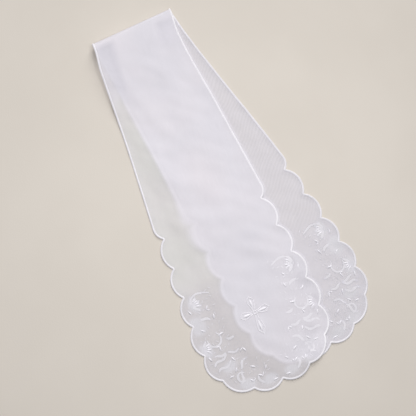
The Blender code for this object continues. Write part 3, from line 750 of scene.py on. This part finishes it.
# %% Petals
PETALS, PETAL_FAN, PETAL_REACH = 5, math.radians(118), 0.6
PETAL_LENGTH, PETAL_HALF_WIDTH, PETAL_RISE = 9.5 * MM, 1.8 * MM, 0.1 * MM
PETAL_STEPS, PETAL_FULLNESS = 21, 0.6

petal_axes = fanned(*bloom_axes, PETALS, PETAL_FAN, PETAL_LENGTH * PETAL_REACH)
petals = embroider_lenses("petals", petal_axes, PETAL_LENGTH, PETAL_HALF_WIDTH, PETAL_RISE,
                          lens(PETAL_STEPS, PETAL_FULLNESS))

# %% Tendrils, rings and the border's arch
LINE_STEPS, LINE_RISE, LINE_FULLNESS = 49, 0.1 * MM, 0.4
TENDRIL_LENGTH, TENDRIL_SWAY, TENDRIL_WAVE = 17.0 * MM, 1.3 * MM, 14.0 * MM
TENDRIL_HALF_WIDTH, TENDRIL_SHIFT, TENDRIL_FULLNESS = 1.55 * MM, 5, 0.35
RING_OF_THREAD, RING_SWEEP, RING_HALF_WIDTH = 5.6 * MM, math.radians(250), 1.15 * MM
ARCH_START, ARCH_DROP = (9.0 * MM, -4.0 * MM), -4.0 * MM
ARCH_REACH, ARCH_RISE, ARCH_LEAN = 22.0 * MM, 6.0 * MM, 0.7

tendril_at, tendril_heading, tendril_size = figure_axes("tendril")
along = np.linspace(0, 1, LINE_STEPS) * TENDRIL_LENGTH * tendril_size[:, None]
shift = tendril_heading[:, None] * TENDRIL_SHIFT
sway = TENDRIL_SWAY * np.sin(2 * math.pi * along / TENDRIL_WAVE + shift)
tendril_profile = lens(LINE_STEPS, TENDRIL_FULLNESS)
tendrils = embroider("tendrils", carried(tendril_at, tendril_heading, along, sway),
                     TENDRIL_HALF_WIDTH * tendril_profile, LINE_RISE * tendril_profile, around=6)

ring_at, ring_heading, ring_size = figure_axes("ring")
ring_turn = np.linspace(-0.5, 0.5, LINE_STEPS) * RING_SWEEP
ring_x, ring_y = (RING_OF_THREAD * ring_size[:, None] * wave for wave in polar(ring_turn).T)
ring_width = RING_HALF_WIDTH * lens(LINE_STEPS, LINE_FULLNESS)
rings = embroider("rings", carried(ring_at, ring_heading, ring_x, ring_y), ring_width, LINE_RISE, around=6)

share = np.linspace(0, 1, LINE_STEPS)
bow = ARCH_DROP * share - ARCH_RISE * np.sin(math.pi * share**ARCH_LEAN)
arch = NOTCHES[FIRST_FIGURED] + ARCH_START + np.stack((bow, -ARCH_REACH * share), -1)
arches = embroider("arches", arch[None], ring_width, LINE_RISE, around=6)

# %% Seed stitches between the figures
SEEDS_TRIED = 136
SEED_AREA = ((268.0 * MM, 384.0 * MM), (4.0 * MM, 62.0 * MM))  # along the band and across it
SEED_SPREAD, SEED_TURN = (0.7548777, 0.5698403), 2.399963
SEED_MARGIN, SEED_DEPTH = 5.0 * MM, 32.0 * MM
SEED_LENGTH, SEED_HALF_WIDTH, SEED_RISE = 3.2 * MM, 0.5 * MM, 0.08 * MM
SEED_STEPS, SEED_FULLNESS = 9, 0.5


def seed_paths():
    """Short stitches scattered evenly: the n-th lies at the fractions of n times two irrational
    steps, and points along n times a third. Only those in the border are kept."""
    number = np.arange(1, SEEDS_TRIED + 1)
    middle = np.stack([low + (high - low) * (number * spread % 1)
                       for (low, high), spread in zip(SEED_AREA, SEED_SPREAD)], 1)
    depth = distance_inside(middle, edge_points)
    middle = middle[(depth > SEED_MARGIN) & (depth < SEED_DEPTH)]
    return straight(middle, number[:len(middle)] * SEED_TURN, SEED_LENGTH, SEED_STEPS)


seeds = seed_paths()
seed_width = SEED_HALF_WIDTH * lens(SEED_STEPS, SEED_FULLNESS)
fine_stitching = embroider("fine_stitching", seeds, seed_width, SEED_RISE, around=5)
print("seed stitches on a quarter:", len(seeds))

# %% [markdown]
# The stitch line inside the edging
#
# The cloth was tacked down before its edge was bound, and that line of short straight stitches still
# runs round the whole stole, a little inside the edging. Each stitch is one laid thread. They could be
# scattered by Geometry Nodes, but the line has to keep an even distance from the edge, which the cut
# gives at once.

# %% Lay the stitch line
TACK_INSET, TACK_PITCH, TACK_LENGTH = 4.3 * MM, 3.0 * MM, 2.6 * MM
TACK_HALF_WIDTH, TACK_RISE, TACK_STEPS = 0.2 * MM, 0.16 * MM, 5


def tack_paths():
    """Straight stitches on the edge's inner line, each parallel to the line between its neighbours."""
    points, normals, _ = even_edge(TACK_PITCH, TACK_INSET)
    line = points - normals * TACK_INSET
    ahead = np.roll(line, -1, axis=0) - np.roll(line, 1, axis=0)
    ahead /= np.linalg.norm(ahead, axis=1)[:, None]
    share = (np.linspace(-0.5, 0.5, TACK_STEPS) * TACK_LENGTH)[None, :, None]
    return line[:, None] + share * ahead[:, None]


tacks = tack_paths()
tack_past = crease_coordinates(tacks[:, 0, 0], tacks[:, 0, 1])[0]
edge_tacks = thread_piece("edge_tacks", [
    laid_thread(chosen[..., 0], chosen[..., 1], TACK_HALF_WIDTH, TACK_RISE, side, around=5)
    for chosen, side in ((tacks[tack_past > 0], 1), (tacks[tack_past <= 0], -1))
])

# %% [markdown]
# The cross
#
# Four padded bars of satin stitch, slim at the crossing and full further out, each framed by a thin
# cord that swells round it and ends in a point, and a small ring where they meet. A cross is as old
# as the garment, and this one is drawn from its arms' lengths alone. Cutting it from a plate would
# give a hard edge. Thread laid along a path gives the rounded bars that catch the light.

# %% Stitch the cross
CROSS_STATION = 311.4 * MM
CROSS_ARMS = [  # degrees from the tip's direction, reach in mm, bar's start and end as shares of it
    (0, 22.5, 0.30, 0.85), (90, 15.5, 0.14, 0.79), (180, 16.5, 0.28, 0.77), (270, 15.5, 0.14, 0.79),
]
BAR_HALF_WIDTH, BAR_RISE, BAR_STEPS = 1.25 * MM, 0.95 * MM, 60
BAR_ENDS, BAR_LEAN, BAR_FULLNESS, BAR_RIPPLE = (0.004, 0.992), 1.7, 0.55, 0.07
FRAME_WAIST, FRAME_FLARE, WIDEST = 1.1 * MM, 3.4 * MM, 0.74
FRAME_HALF_WIDTH, FRAME_RISE, FRAME_STITCH, FRAME_RIPPLE = 0.42 * MM, 0.5 * MM, 1.1 * MM, 0.15
RING_RADIUS, RING_STEPS, BETWEEN_ARMS = 1.5 * MM, 33, 45  # the last in degrees


def cross_thread(x, y, degrees, half_width, rise, around=8):
    """One thread of the cross, its path turned about the crossing."""
    station, across = turned(x, y, math.radians(degrees))
    return laid_thread((station + CROSS_STATION)[None], across[None], half_width, rise, 1, around)


def cross_bar(degrees, reach, first, last):
    """A teardrop: width and height follow sin(pi * share^lean)^fullness, so it is fullest far out."""
    share = np.linspace(0, 1, BAR_STEPS)
    profile = np.sin(math.pi * share.clip(*BAR_ENDS) ** BAR_LEAN) ** BAR_FULLNESS
    x = (first + (last - first) * share) * reach * MM
    height = BAR_RISE * profile * ripple(x, THREAD_PITCH, BAR_RIPPLE)
    return cross_thread(x, 0 * x, degrees, BAR_HALF_WIDTH * profile, height, around=12)


def cross_frame(degrees, reach, *_):
    """Out along one side of the arm and back along the other. The half width rises smoothly from
    waist to flare, and falls smoothly to the point."""
    share = np.linspace(0, 1, BAR_STEPS)
    rising = FRAME_WAIST + (FRAME_FLARE - FRAME_WAIST) * smooth(share, 0, WIDEST)
    half = np.where(share > WIDEST, FRAME_FLARE * smooth(share, 1, WIDEST), rising)
    x = FRAME_WAIST + (reach * MM - FRAME_WAIST) * share
    x, y = np.concatenate((x, x[-2::-1])), np.concatenate((half, -half[-2::-1]))
    stitches = ripple(run_along(np.stack((x, y), 1)), FRAME_STITCH, FRAME_RIPPLE)
    return cross_thread(x, y, degrees, FRAME_HALF_WIDTH * stitches, FRAME_RISE * stitches)


def cross_ring():
    """A small ring round the crossing, closed between two arms."""
    x, y = RING_RADIUS * polar(np.linspace(0, 2 * math.pi, RING_STEPS)).T
    return cross_thread(x, y, BETWEEN_ARMS, FRAME_HALF_WIDTH, FRAME_RISE)


cross_bars = thread_piece("cross_bars", [cross_bar(*arm) for arm in CROSS_ARMS])
cross_frames = thread_piece("cross_frames", [cross_frame(*arm) for arm in CROSS_ARMS] + [cross_ring()])
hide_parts("satin_cross")

# %% [markdown]

# %% [markdown]
# Patterns that several finishes share
#
# Materials are node trees. A pattern that more than one finish needs is a node group, made once with
# named inputs and outputs: the plain weave of the cloth, the lines of laid thread, and a soft mottle.
# Each gives only numbers, and the material decides what they drive. Scanned textures would be
# quicker, but they have one size, and a formula stays sharp close up. Nodes wired one by one are hard
# to read, so a small class lets a finish be written as arithmetic, and each sign places a Math node.

# %% Node helpers
NOISE_DETAIL = 3.0
MIX_COLOURS, MIXED_COLOUR = slice(6, 8), 2  # the Mix node's colour sockets, past those for numbers


class Flow:
    """What comes out of a node. The signs + - * / and abs place Math nodes behind it."""

    def __init__(self, socket):
        self.socket, self.tree = socket, socket.id_data

    def math(self, operation, *others):
        return flow(node(self.tree, "ShaderNodeMath", self, *others, operation=operation))

    def __add__(self, other):
        return self.math("ADD", other)

    def __mul__(self, other):
        return self.math("MULTIPLY", other)

    def __sub__(self, other):
        return self.math("SUBTRACT", other)

    def __rsub__(self, other):
        return self * -1.0 + other

    def __truediv__(self, other):
        return self.math("DIVIDE", other)

    def __abs__(self):
        return self.math("ABSOLUTE")

    def at_least(self, other):
        return self.math("MAXIMUM", other)

    def at_most(self, other):
        return self.math("MINIMUM", other)


def feed(slot, value):
    """Links a flow to a node's input, or sets a plain value there. None is left alone."""
    if isinstance(value, Flow):
        slot.id_data.links.new(value.socket, slot)
    elif value is not None:
        slot.default_value = value


def node(tree, kind, *values, **settings):
    """Adds a node, gives it its settings, and feeds its inputs in order."""
    made = tree.nodes.new(kind)
    for name, value in settings.items():
        setattr(made, name, value)
    for slot, value in zip(made.inputs, values):
        feed(slot, value)
    return made


def flow(made, key=0):
    """What comes out of one of a node's outputs."""
    return Flow(made.outputs[key])


def split(vector):
    """The flows of a vector's x, y and z."""
    return [Flow(socket) for socket in node(vector.tree, "ShaderNodeSeparateXYZ", vector).outputs]


def ramp(value, low, high):
    """0 at low to 1 at high with level ends, as smooth() does for arrays."""
    return flow(node(value.tree, "ShaderNodeMapRange", value, low, high, interpolation_type="SMOOTHSTEP"))


def noise(vector, scale):
    """Soft noise round 0.5."""
    return flow(node(vector.tree, "ShaderNodeTexNoise", vector, None, scale, NOISE_DETAIL))


def blend(factor, first, second):
    """Mix of two colours, each a flow or a plain one. factor is a flow."""
    made = node(factor.tree, "ShaderNodeMix", factor, data_type="RGBA")
    for slot, colour in zip(made.inputs[MIX_COLOURS], (first, second)):
        feed(slot, colour if isinstance(colour, Flow) else (*colour, 1.0))
    return flow(made, MIXED_COLOUR)


print("a finish can be written with:", ", ".join(f.__name__ for f in (split, ramp, noise, blend)))

# %% The shared patterns
YARN_RISE, COVER_RANGE, MOTTLE_RANGE = 0.3, (0.3, 0.8), (0.3, 0.7)
SLUB_SHAPE = (0.06, 1.6, 1.0)  # long along the band, thin across it


def new_group(name, inputs, outputs):
    """An empty node group with a Vector input, number inputs with defaults, and number outputs."""
    tree = bpy.data.node_groups.new(name, "ShaderNodeTree")
    tree.interface.new_socket("Vector", in_out="INPUT", socket_type="NodeSocketVector")
    for key, value in inputs.items():
        socket = tree.interface.new_socket(key, in_out="INPUT", socket_type="NodeSocketFloat")
        socket.default_value = value
    for key in outputs:
        tree.interface.new_socket(key, in_out="OUTPUT", socket_type="NodeSocketFloat")
    given = {socket.name: Flow(socket) for socket in node(tree, "NodeGroupInput").outputs}
    return tree, given, node(tree, "NodeGroupOutput").inputs


def weave_group():
    """Plain weave. A yarn's profile is |sine| across it, warp and weft rise over each other by the
    product of their sines, and the cover is where either yarn is thick. Slubs are stretched noise."""
    tree, given, result = new_group("plain_weave", {"Pitch": 0.5}, ("Height", "Cover", "Slub"))
    x, y, _ = split(given["Vector"])
    warp, weft = ((way / given["Pitch"] * math.pi).math("SINE") for way in (x, y))
    over = warp * weft * YARN_RISE
    warp, weft, flat = abs(warp), abs(weft), 1.0 - YARN_RISE
    feed(result["Height"], (warp * (over + flat)).at_least(weft * (flat - over)))
    feed(result["Cover"], ramp(warp.at_least(weft), *COVER_RANGE))
    stretched = node(tree, "ShaderNodeVectorMath", given["Vector"], SLUB_SHAPE, operation="MULTIPLY")
    feed(result["Slub"], noise(flow(stretched), 1.0))
    return tree


def thread_group():
    """Laid thread. Lines lean by slant times the distance from the middle, each is |sine| high, and
    each has a shade of its own by white noise on its number."""
    tree, given, result = new_group("laid_thread", {"Pitch": 0.4, "Slant": 0.4}, ("Height", "Shade"))
    x, y, _ = split(given["Vector"])
    phase = (x + abs(y) * given["Slant"]) / given["Pitch"]
    feed(result["Height"], abs((phase * math.pi).math("SINE")))
    shade = node(tree, "ShaderNodeTexWhiteNoise", noise_dimensions="1D")
    feed(shade.inputs["W"], phase.math("FLOOR"))
    feed(result["Shade"], flow(shade, "Value"))
    return tree


def mottle_group():
    """Soft unevenness: noise of a given scale, stretched so that it runs from 0 to 1."""
    tree, given, result = new_group("soft_mottle", {"Scale": 1.0}, ("Value",))
    feed(result["Value"], ramp(noise(given["Vector"], given["Scale"]), *MOTTLE_RANGE))
    return tree


GROUPS = {"weave": weave_group(), "thread": thread_group(), "mottle": mottle_group()}


def pattern(key, vector, **values):
    """Places a shared pattern in a material, with its own values, and gives its flows by name."""
    made = node(vector.tree, "ShaderNodeGroup", node_tree=GROUPS[key])
    for name, value in {"Vector": vector, **values}.items():
        feed(made.inputs[name], value)
    return {socket.name: Flow(socket) for socket in made.outputs}


def new_material(name, **sockets):
    """A material with its Principled shader, whose plain values are set on its own sockets."""
    material = bpy.data.materials.new(name)
    material.use_nodes = True
    shader = material.node_tree.nodes["Principled BSDF"]
    for key, value in sockets.items():
        shader.inputs[key.replace("_", " ")].default_value = value
    return material, material.node_tree, shader


def bump(shader, height, strength, distance):
    """Feeds a height to the shader's Normal."""
    made = node(height.tree, "ShaderNodeBump", strength, distance)
    feed(made.inputs["Height"], height)
    feed(shader.inputs["Normal"], flow(made))


print("shared patterns:", ", ".join(GROUPS))

# %% [markdown]
# The finish of the organza
#
# Between the yarns there's nothing, so sheer cloth is half cover and half hole, and the floor shows
# through. One layer over a warm floor looks grey, and where two layers lie together it turns white.
# Transmission or glass would bend light, which yarn doesn't, so the way here is Alpha: the weave's
# cover times how dense the cloth looks there. Where the lower limb shows alone, its yarns and their
# shadow beat against each other in faint slanted stripes. Cloth that stands off the floor hides it
# about as well as two layers do, and its outer strip beside the fold lets more light through to its
# shadow. That strip's colour is a painted shade, darker, so that the light which then reaches the
# layers under it doesn't whiten it.

# %% Make the organza's material
YARN_PITCH, MEAN_COVER = 0.5, 0.7
MOTTLE_SCALE, SHOT_SCALE, SHOT_SHARE = 0.035, 0.016, 0.6
YARN_DEPTH, UNEVEN_DEPTH, SLUB_DEPTH = 0.3, 0.06, 0.16
SINGLE_DENSITY, LOWER_DENSITY, DOUBLE_DENSITY = 0.43, 0.42, 0.70
SINGLE_COLOUR, SINGLE_SHOT = (0.895, 0.90, 0.905), (0.91, 0.89, 0.93)
LOWER_COLOUR, LOWER_BORDER = (0.88, 0.865, 0.93), (0.885, 0.872, 0.95)
DOUBLE_COLOUR, DOUBLE_SHOT = (0.852, 0.838, 0.905), (0.876, 0.845, 0.902)
BORDER_COLOUR = (0.842, 0.822, 0.868)
VEILED_DENSITY, VEILED_COLOUR, VEIL_RIM = 0.58, (0.875, 0.868, 0.925), (0.12, 0.75)
OUTLINE_DENSITY, OUTLINE_FROM, OUTLINE_TO = 0.05, (-1.5, 0.3), (1.2, 3.6)  # mm inside the other limb
STRIPE_PITCH, STRIPE_NORMAL, STRIPE_DEPTH = 3.3, (-0.776, 0.631, 0.0), 0.045
HATCH_PITCH, HATCH_NORMAL, HATCH_DEPTH = 2.3, (0.5, 0.866, 0.0), 0.13
LINE_DRIFT = 2.5
STANDS_OFF, LIFTED_DENSITY, SHADOW_DENSITY = (2.6 * MM, 7.0 * MM), 0.56, 0.14
# painted shade: the lifted rim's darker colour offsets the light let through to its shadow
LIFTED_RIM_PAINTED_SHADE = (0.70, 0.69, 0.75)


def cut_place(tree):
    """The place on the cut or on the thread, in mm, from the UV map."""
    return flow(node(tree, "ShaderNodeUVMap", uv_map="cut"))


def mask(tree, name):
    """One of the numbers that were stored on the cloth's points."""
    return flow(node(tree, "ShaderNodeAttribute", attribute_name=name), "Fac")


def towards(value, goal, share):
    """value + (goal - value) * share."""
    return (value * -1.0 + goal) * share + value


def varied(value, depth, middle=0.5):
    """1 + depth * (value - middle)."""
    return (value - middle) * depth + 1.0


def lines(cut, normal, pitch, drift):
    """Sine of the distance along a direction of the cut, which drifts with a mottle."""
    way = flow(node(cut.tree, "ShaderNodeVectorMath", cut, normal, operation="DOT_PRODUCT"), "Value")
    return ((way + drift) * (2 * math.pi / pitch)).math("SINE")


def organza_finish():
    """Alpha is density * yarn * mottle * slub. Density and colour start from the single cloth's and go
    towards each other look by its own mask: two layers, veils, the lower limb's outline, the lifted rim.
    On the lifted rim the colour is a painted shade, darker to offset the light let through to its shadow."""
    material, tree, shader = new_material("organza_weave", Roughness=0.55, Sheen_Weight=0.25,
                                          Sheen_Roughness=0.4, Specular_IOR_Level=0.3)
    cut = cut_place(tree)
    lower, bordered, inside = (mask(tree, name) for name in ("lower_limb", "bordered", "inside_other"))
    height = split(flow(node(tree, "ShaderNodeTexCoord"), "Object"))[2]
    standing_off = ramp(height, *STANDS_OFF)
    lifted_rim = standing_off * mask(tree, "near_rim")
    doubled = ramp(inside, DOUBLE_FROM, DOUBLE_TO).at_least(standing_off)
    weave = pattern("weave", cut, Pitch=YARN_PITCH)
    mottle = pattern("mottle", cut, Scale=MOTTLE_SCALE)["Value"]
    drift = mottle * LINE_DRIFT
    hatch = lines(cut, HATCH_NORMAL, HATCH_PITCH, drift) * HATCH_DEPTH
    veil = (ramp(mask(tree, "veiled"), *VEIL_RIM) * (hatch + 1.0)).at_most(1.0)

    density = towards(lower * (LOWER_DENSITY - SINGLE_DENSITY) + SINGLE_DENSITY, DOUBLE_DENSITY, doubled)
    density = towards(density, VEILED_DENSITY, veil)
    outline = ramp(inside, *OUTLINE_FROM) * (1.0 - ramp(inside, *OUTLINE_TO)) * (1.0 - lower)
    density = density + outline * OUTLINE_DENSITY
    uneven = varied(mottle, UNEVEN_DEPTH) * varied(weave["Slub"], SLUB_DEPTH)
    density = density * varied(weave["Cover"], YARN_DEPTH, MEAN_COVER) * uneven
    alone = lower * (1.0 - doubled.at_least(bordered))
    stripe = lines(cut, STRIPE_NORMAL, STRIPE_PITCH, drift) * alone * STRIPE_DEPTH
    density = (density * (stripe + 1.0)).at_most(1.0)
    density = towards(density, LIFTED_DENSITY, lifted_rim)
    in_shadow = flow(node(tree, "ShaderNodeLightPath"), "Is Shadow Ray")
    feed(shader.inputs["Alpha"], towards(density, SHADOW_DENSITY, in_shadow * lifted_rim))

    broad = pattern("mottle", cut, Scale=SHOT_SCALE)["Value"]
    shot = (broad * SHOT_SHARE).at_least(mask(tree, "shot"))
    colour = blend(bordered, blend(shot, SINGLE_COLOUR, SINGLE_SHOT), BORDER_COLOUR)
    colour = blend(lower, colour, blend(bordered, LOWER_COLOUR, LOWER_BORDER))
    colour = blend(doubled, colour, blend(shot, DOUBLE_COLOUR, DOUBLE_SHOT))
    colour = blend(veil * (1.0 - doubled), colour, VEILED_COLOUR)
    # the lifted rim's colour is a painted shade
    feed(shader.inputs["Base Color"], blend(lifted_rim, colour, LIFTED_RIM_PAINTED_SHADE))
    bump(shader, weave["Height"], strength=0.15, distance=0.1 * MM)
    return material


organza_sheet.data.materials.append(organza_finish())
print("organza: alpha from", SINGLE_DENSITY, "alone to", DOUBLE_DENSITY, "doubled, per face of the shell")

# %% [markdown]
# The finish of the thread
#
# Rayon thread is bright and smooth. Side by side it shines as one surface with fine lines in it, and
# no two threads have quite the same shade. The lines are a bump, and in the colour they are painted
# shade in the grooves between threads and a painted highlight on their crests. The edging, the padded
# figures and the fine lines are the same thread, laid at different pitches, so one function makes
# their finishes. Over two layers of cloth thread looks whiter than over one. The petals, rings, arches
# and tendrils are stitched so openly that the cloth shows through towards their sides. Each could
# have a material of its own by hand, but then one change of the thread would have to be made four
# times.

# %% Make the thread's materials
# painted shade: the darker end also carries the painted shade of the grooves between threads
DULL_AND_SHADED_SHARE = 0.92  # share of the bright colour
CLOTH_TONE, DOUBLE_TONE = (0.68, 0.665, 0.69), (0.80, 0.785, 0.845)
# painted shade: a thread's height darkens the grooves between threads and lightens their crests
SHADE_SHARE, PAINTED_GROOVE_SHADE_SHARE, MOTTLE_SHARE = 0.35, 0.4, 0.25
THREAD_MOTTLE_SCALE = 0.05
FADE_FROM = 0.3  # share of the way to the side of an open stitch


def thread_finish(name, pitch, slant, alone, doubled, roughness=0.38, fade=0.0):
    """Colour runs from a darker end to the bright colour by each thread's own shade, a mottle and its
    height, and bump comes from the threads. The height part is painted shade in the grooves between
    threads and a painted highlight on their crests. alone and doubled are the bright colours over one
    layer of cloth and over two; the darker end is a share of them. Open stitching fades to the cloth's
    own tone towards its sides, fade mm from its middle."""
    material, tree, shader = new_material(name, Roughness=roughness, Sheen_Weight=0.2,
                                          Sheen_Roughness=0.35, Specular_IOR_Level=0.45)
    cut = cut_place(tree)
    thread = pattern("thread", cut, Pitch=pitch, Slant=slant)
    mottle = pattern("mottle", cut, Scale=THREAD_MOTTLE_SCALE)["Value"]
    # the height term is painted shade in the grooves and a painted highlight on the crests
    tone = thread["Shade"] * SHADE_SHARE + thread["Height"] * PAINTED_GROOVE_SHADE_SHARE + mottle * MOTTLE_SHARE
    over_two = ramp(mask(tree, "inside_other"), DOUBLE_FROM, DOUBLE_TO)
    dull_and_shaded = blend(over_two, [DULL_AND_SHADED_SHARE * c for c in alone], [DULL_AND_SHADED_SHARE * c for c in doubled])
    colour = blend(tone, dull_and_shaded, blend(over_two, alone, doubled))
    if fade:
        edge = ramp(abs(split(cut)[1]), FADE_FROM * fade, fade)
        colour = blend(edge, colour, blend(over_two, CLOTH_TONE, DOUBLE_TONE))
    feed(shader.inputs["Base Color"], colour)
    bump(shader, thread["Height"], strength=0.35, distance=0.1 * MM)
    return material


for finish, pieces in (
    (thread_finish("edging_satin", 0.45, 0.25, (0.83, 0.815, 0.87), (0.91, 0.895, 0.95)),
     (edging_stitches, cross_frames)),
    (thread_finish("padded_satin", 0.3, 0.6, (0.93, 0.915, 0.985), (0.95, 0.935, 1.0), 0.3),
     (leaves, cross_bars)),
    (thread_finish("fine_thread", 0.8, 1.5, (0.735, 0.72, 0.765), (0.835, 0.82, 0.88), 0.6),
     (fine_stitching, edge_tacks)),
    (thread_finish("open_stitch", 0.5, 0.3, (0.775, 0.76, 0.815), (0.825, 0.81, 0.87), 0.6, fade=1.5),
     (petals, rings, arches, tendrils)),
):
    for piece in pieces:
        piece.data.materials.append(finish)
    print(finish.name, "on", ", ".join(piece.name for piece in pieces))

# %% [markdown]
# Floor, light and camera
#
# The stole lies on a pale board, lit as in a small studio: one large soft light beyond the fold and
# to the right, not quite as high as it is far, which shades the soft folds, and a small dim one
# overhead to keep the shadows open. A whole room could be built to light it too, but under a plain pale
# sky white cloth gets no patches. The camera looks down from above, a little from the left, with the
# stole leaning in its frame.

# %% Lay the floor
FLOOR_SIZE = 3.0
FLOOR_COLOUR, FLOOR_SHADE = (0.70, 0.655, 0.60), (0.675, 0.63, 0.575)
BROAD_SCALE, GRAIN_SCALE = 9.0, 700.0


def floor_finish():
    """A matt board: colour from shade to full by a broad mottle, and bump from a fine one."""
    material, tree, shader = new_material("pale_board", Roughness=0.75, Specular_IOR_Level=0.2)
    on_floor = flow(node(tree, "ShaderNodeTexCoord"), "Object")
    broad, grain = (pattern("mottle", on_floor, Scale=scale)["Value"] for scale in (BROAD_SCALE, GRAIN_SCALE))
    feed(shader.inputs["Base Color"], blend(broad, FLOOR_SHADE, FLOOR_COLOUR))
    bump(shader, grain, strength=0.1, distance=0.2 * MM)
    return material


floor_mesh = bpy.data.meshes.new("floor")
half = FLOOR_SIZE / 2
corners = [(-half, -half, 0), (half, -half, 0), (half, half, 0), (-half, half, 0)]
floor_mesh.from_pydata(corners, [], [(0, 1, 2, 3)])
floor_mesh.materials.append(floor_finish())
floor = bpy.data.objects.new("floor", floor_mesh)
bpy.context.scene.collection.objects.link(floor)
print("floor:", FLOOR_SIZE, "m square")

# %% Hang the lights
KEY_PLACE, KEY_SIZE, KEY_WATTS, KEY_COLOUR = (1.7595, 2.50308, 2.6), 2.9, 102.0, (1.0, 0.98, 0.955)
TOP_PLACE, TOP_SIZE, TOP_WATTS, TOP_COLOUR = (0.0, 0.02, 0.66), 0.4, 2.38, (1.0, 0.99, 0.98)
SKY_COLOUR, SKY_STRENGTH = (0.98, 0.98, 1.0, 1.0), 0.20


def area_light(name, place_of_light, size, watts, colour):
    """A square light that faces the stole."""
    data = bpy.data.lights.new(name, "AREA")
    data.size, data.energy, data.color = size, watts, colour
    lamp = bpy.data.objects.new(name, data)
    lamp.location = place_of_light
    lamp.rotation_euler = (-Vector(place_of_light)).to_track_quat("-Z", "Y").to_euler()
    bpy.context.scene.collection.objects.link(lamp)
    print(f"{name}: {watts} W, {size} m wide, {Vector(place_of_light).length:.2f} m away")


area_light("key_light", KEY_PLACE, KEY_SIZE, KEY_WATTS, KEY_COLOUR)
area_light("overhead_light", TOP_PLACE, TOP_SIZE, TOP_WATTS, TOP_COLOUR)
world = bpy.data.worlds.new("studio")
world.use_nodes = True
sky = world.node_tree.nodes["Background"].inputs
sky["Color"].default_value, sky["Strength"].default_value = SKY_COLOUR, SKY_STRENGTH
bpy.context.scene.world = world
bpy.context.scene.view_settings.view_transform = "Standard"

# %% Place the camera
CAMERA_PLACE = (-0.1203, -0.0660, 0.6871)
LEAN, TILT_RIGHT, TILT_BACK = math.radians(27.45), math.radians(5.29), math.radians(8.25)
FOCAL_LENGTH, SENSOR_WIDTH = 60.6, 36.0

camera_data = bpy.data.cameras.new("camera")
camera_data.lens, camera_data.sensor_width = FOCAL_LENGTH, SENSOR_WIDTH
camera = bpy.data.objects.new("camera", camera_data)
camera.matrix_world = (
    Matrix.Translation(CAMERA_PLACE) @ Matrix.Rotation(-LEAN, 4, "Z")
    @ Matrix.Rotation(-TILT_RIGHT, 4, "Y") @ Matrix.Rotation(TILT_BACK, 4, "X")
)
bpy.context.scene.collection.objects.link(camera)
bpy.context.scene.camera = camera
print("camera stands", round(camera.matrix_world.translation.z, 2), "m above the floor")
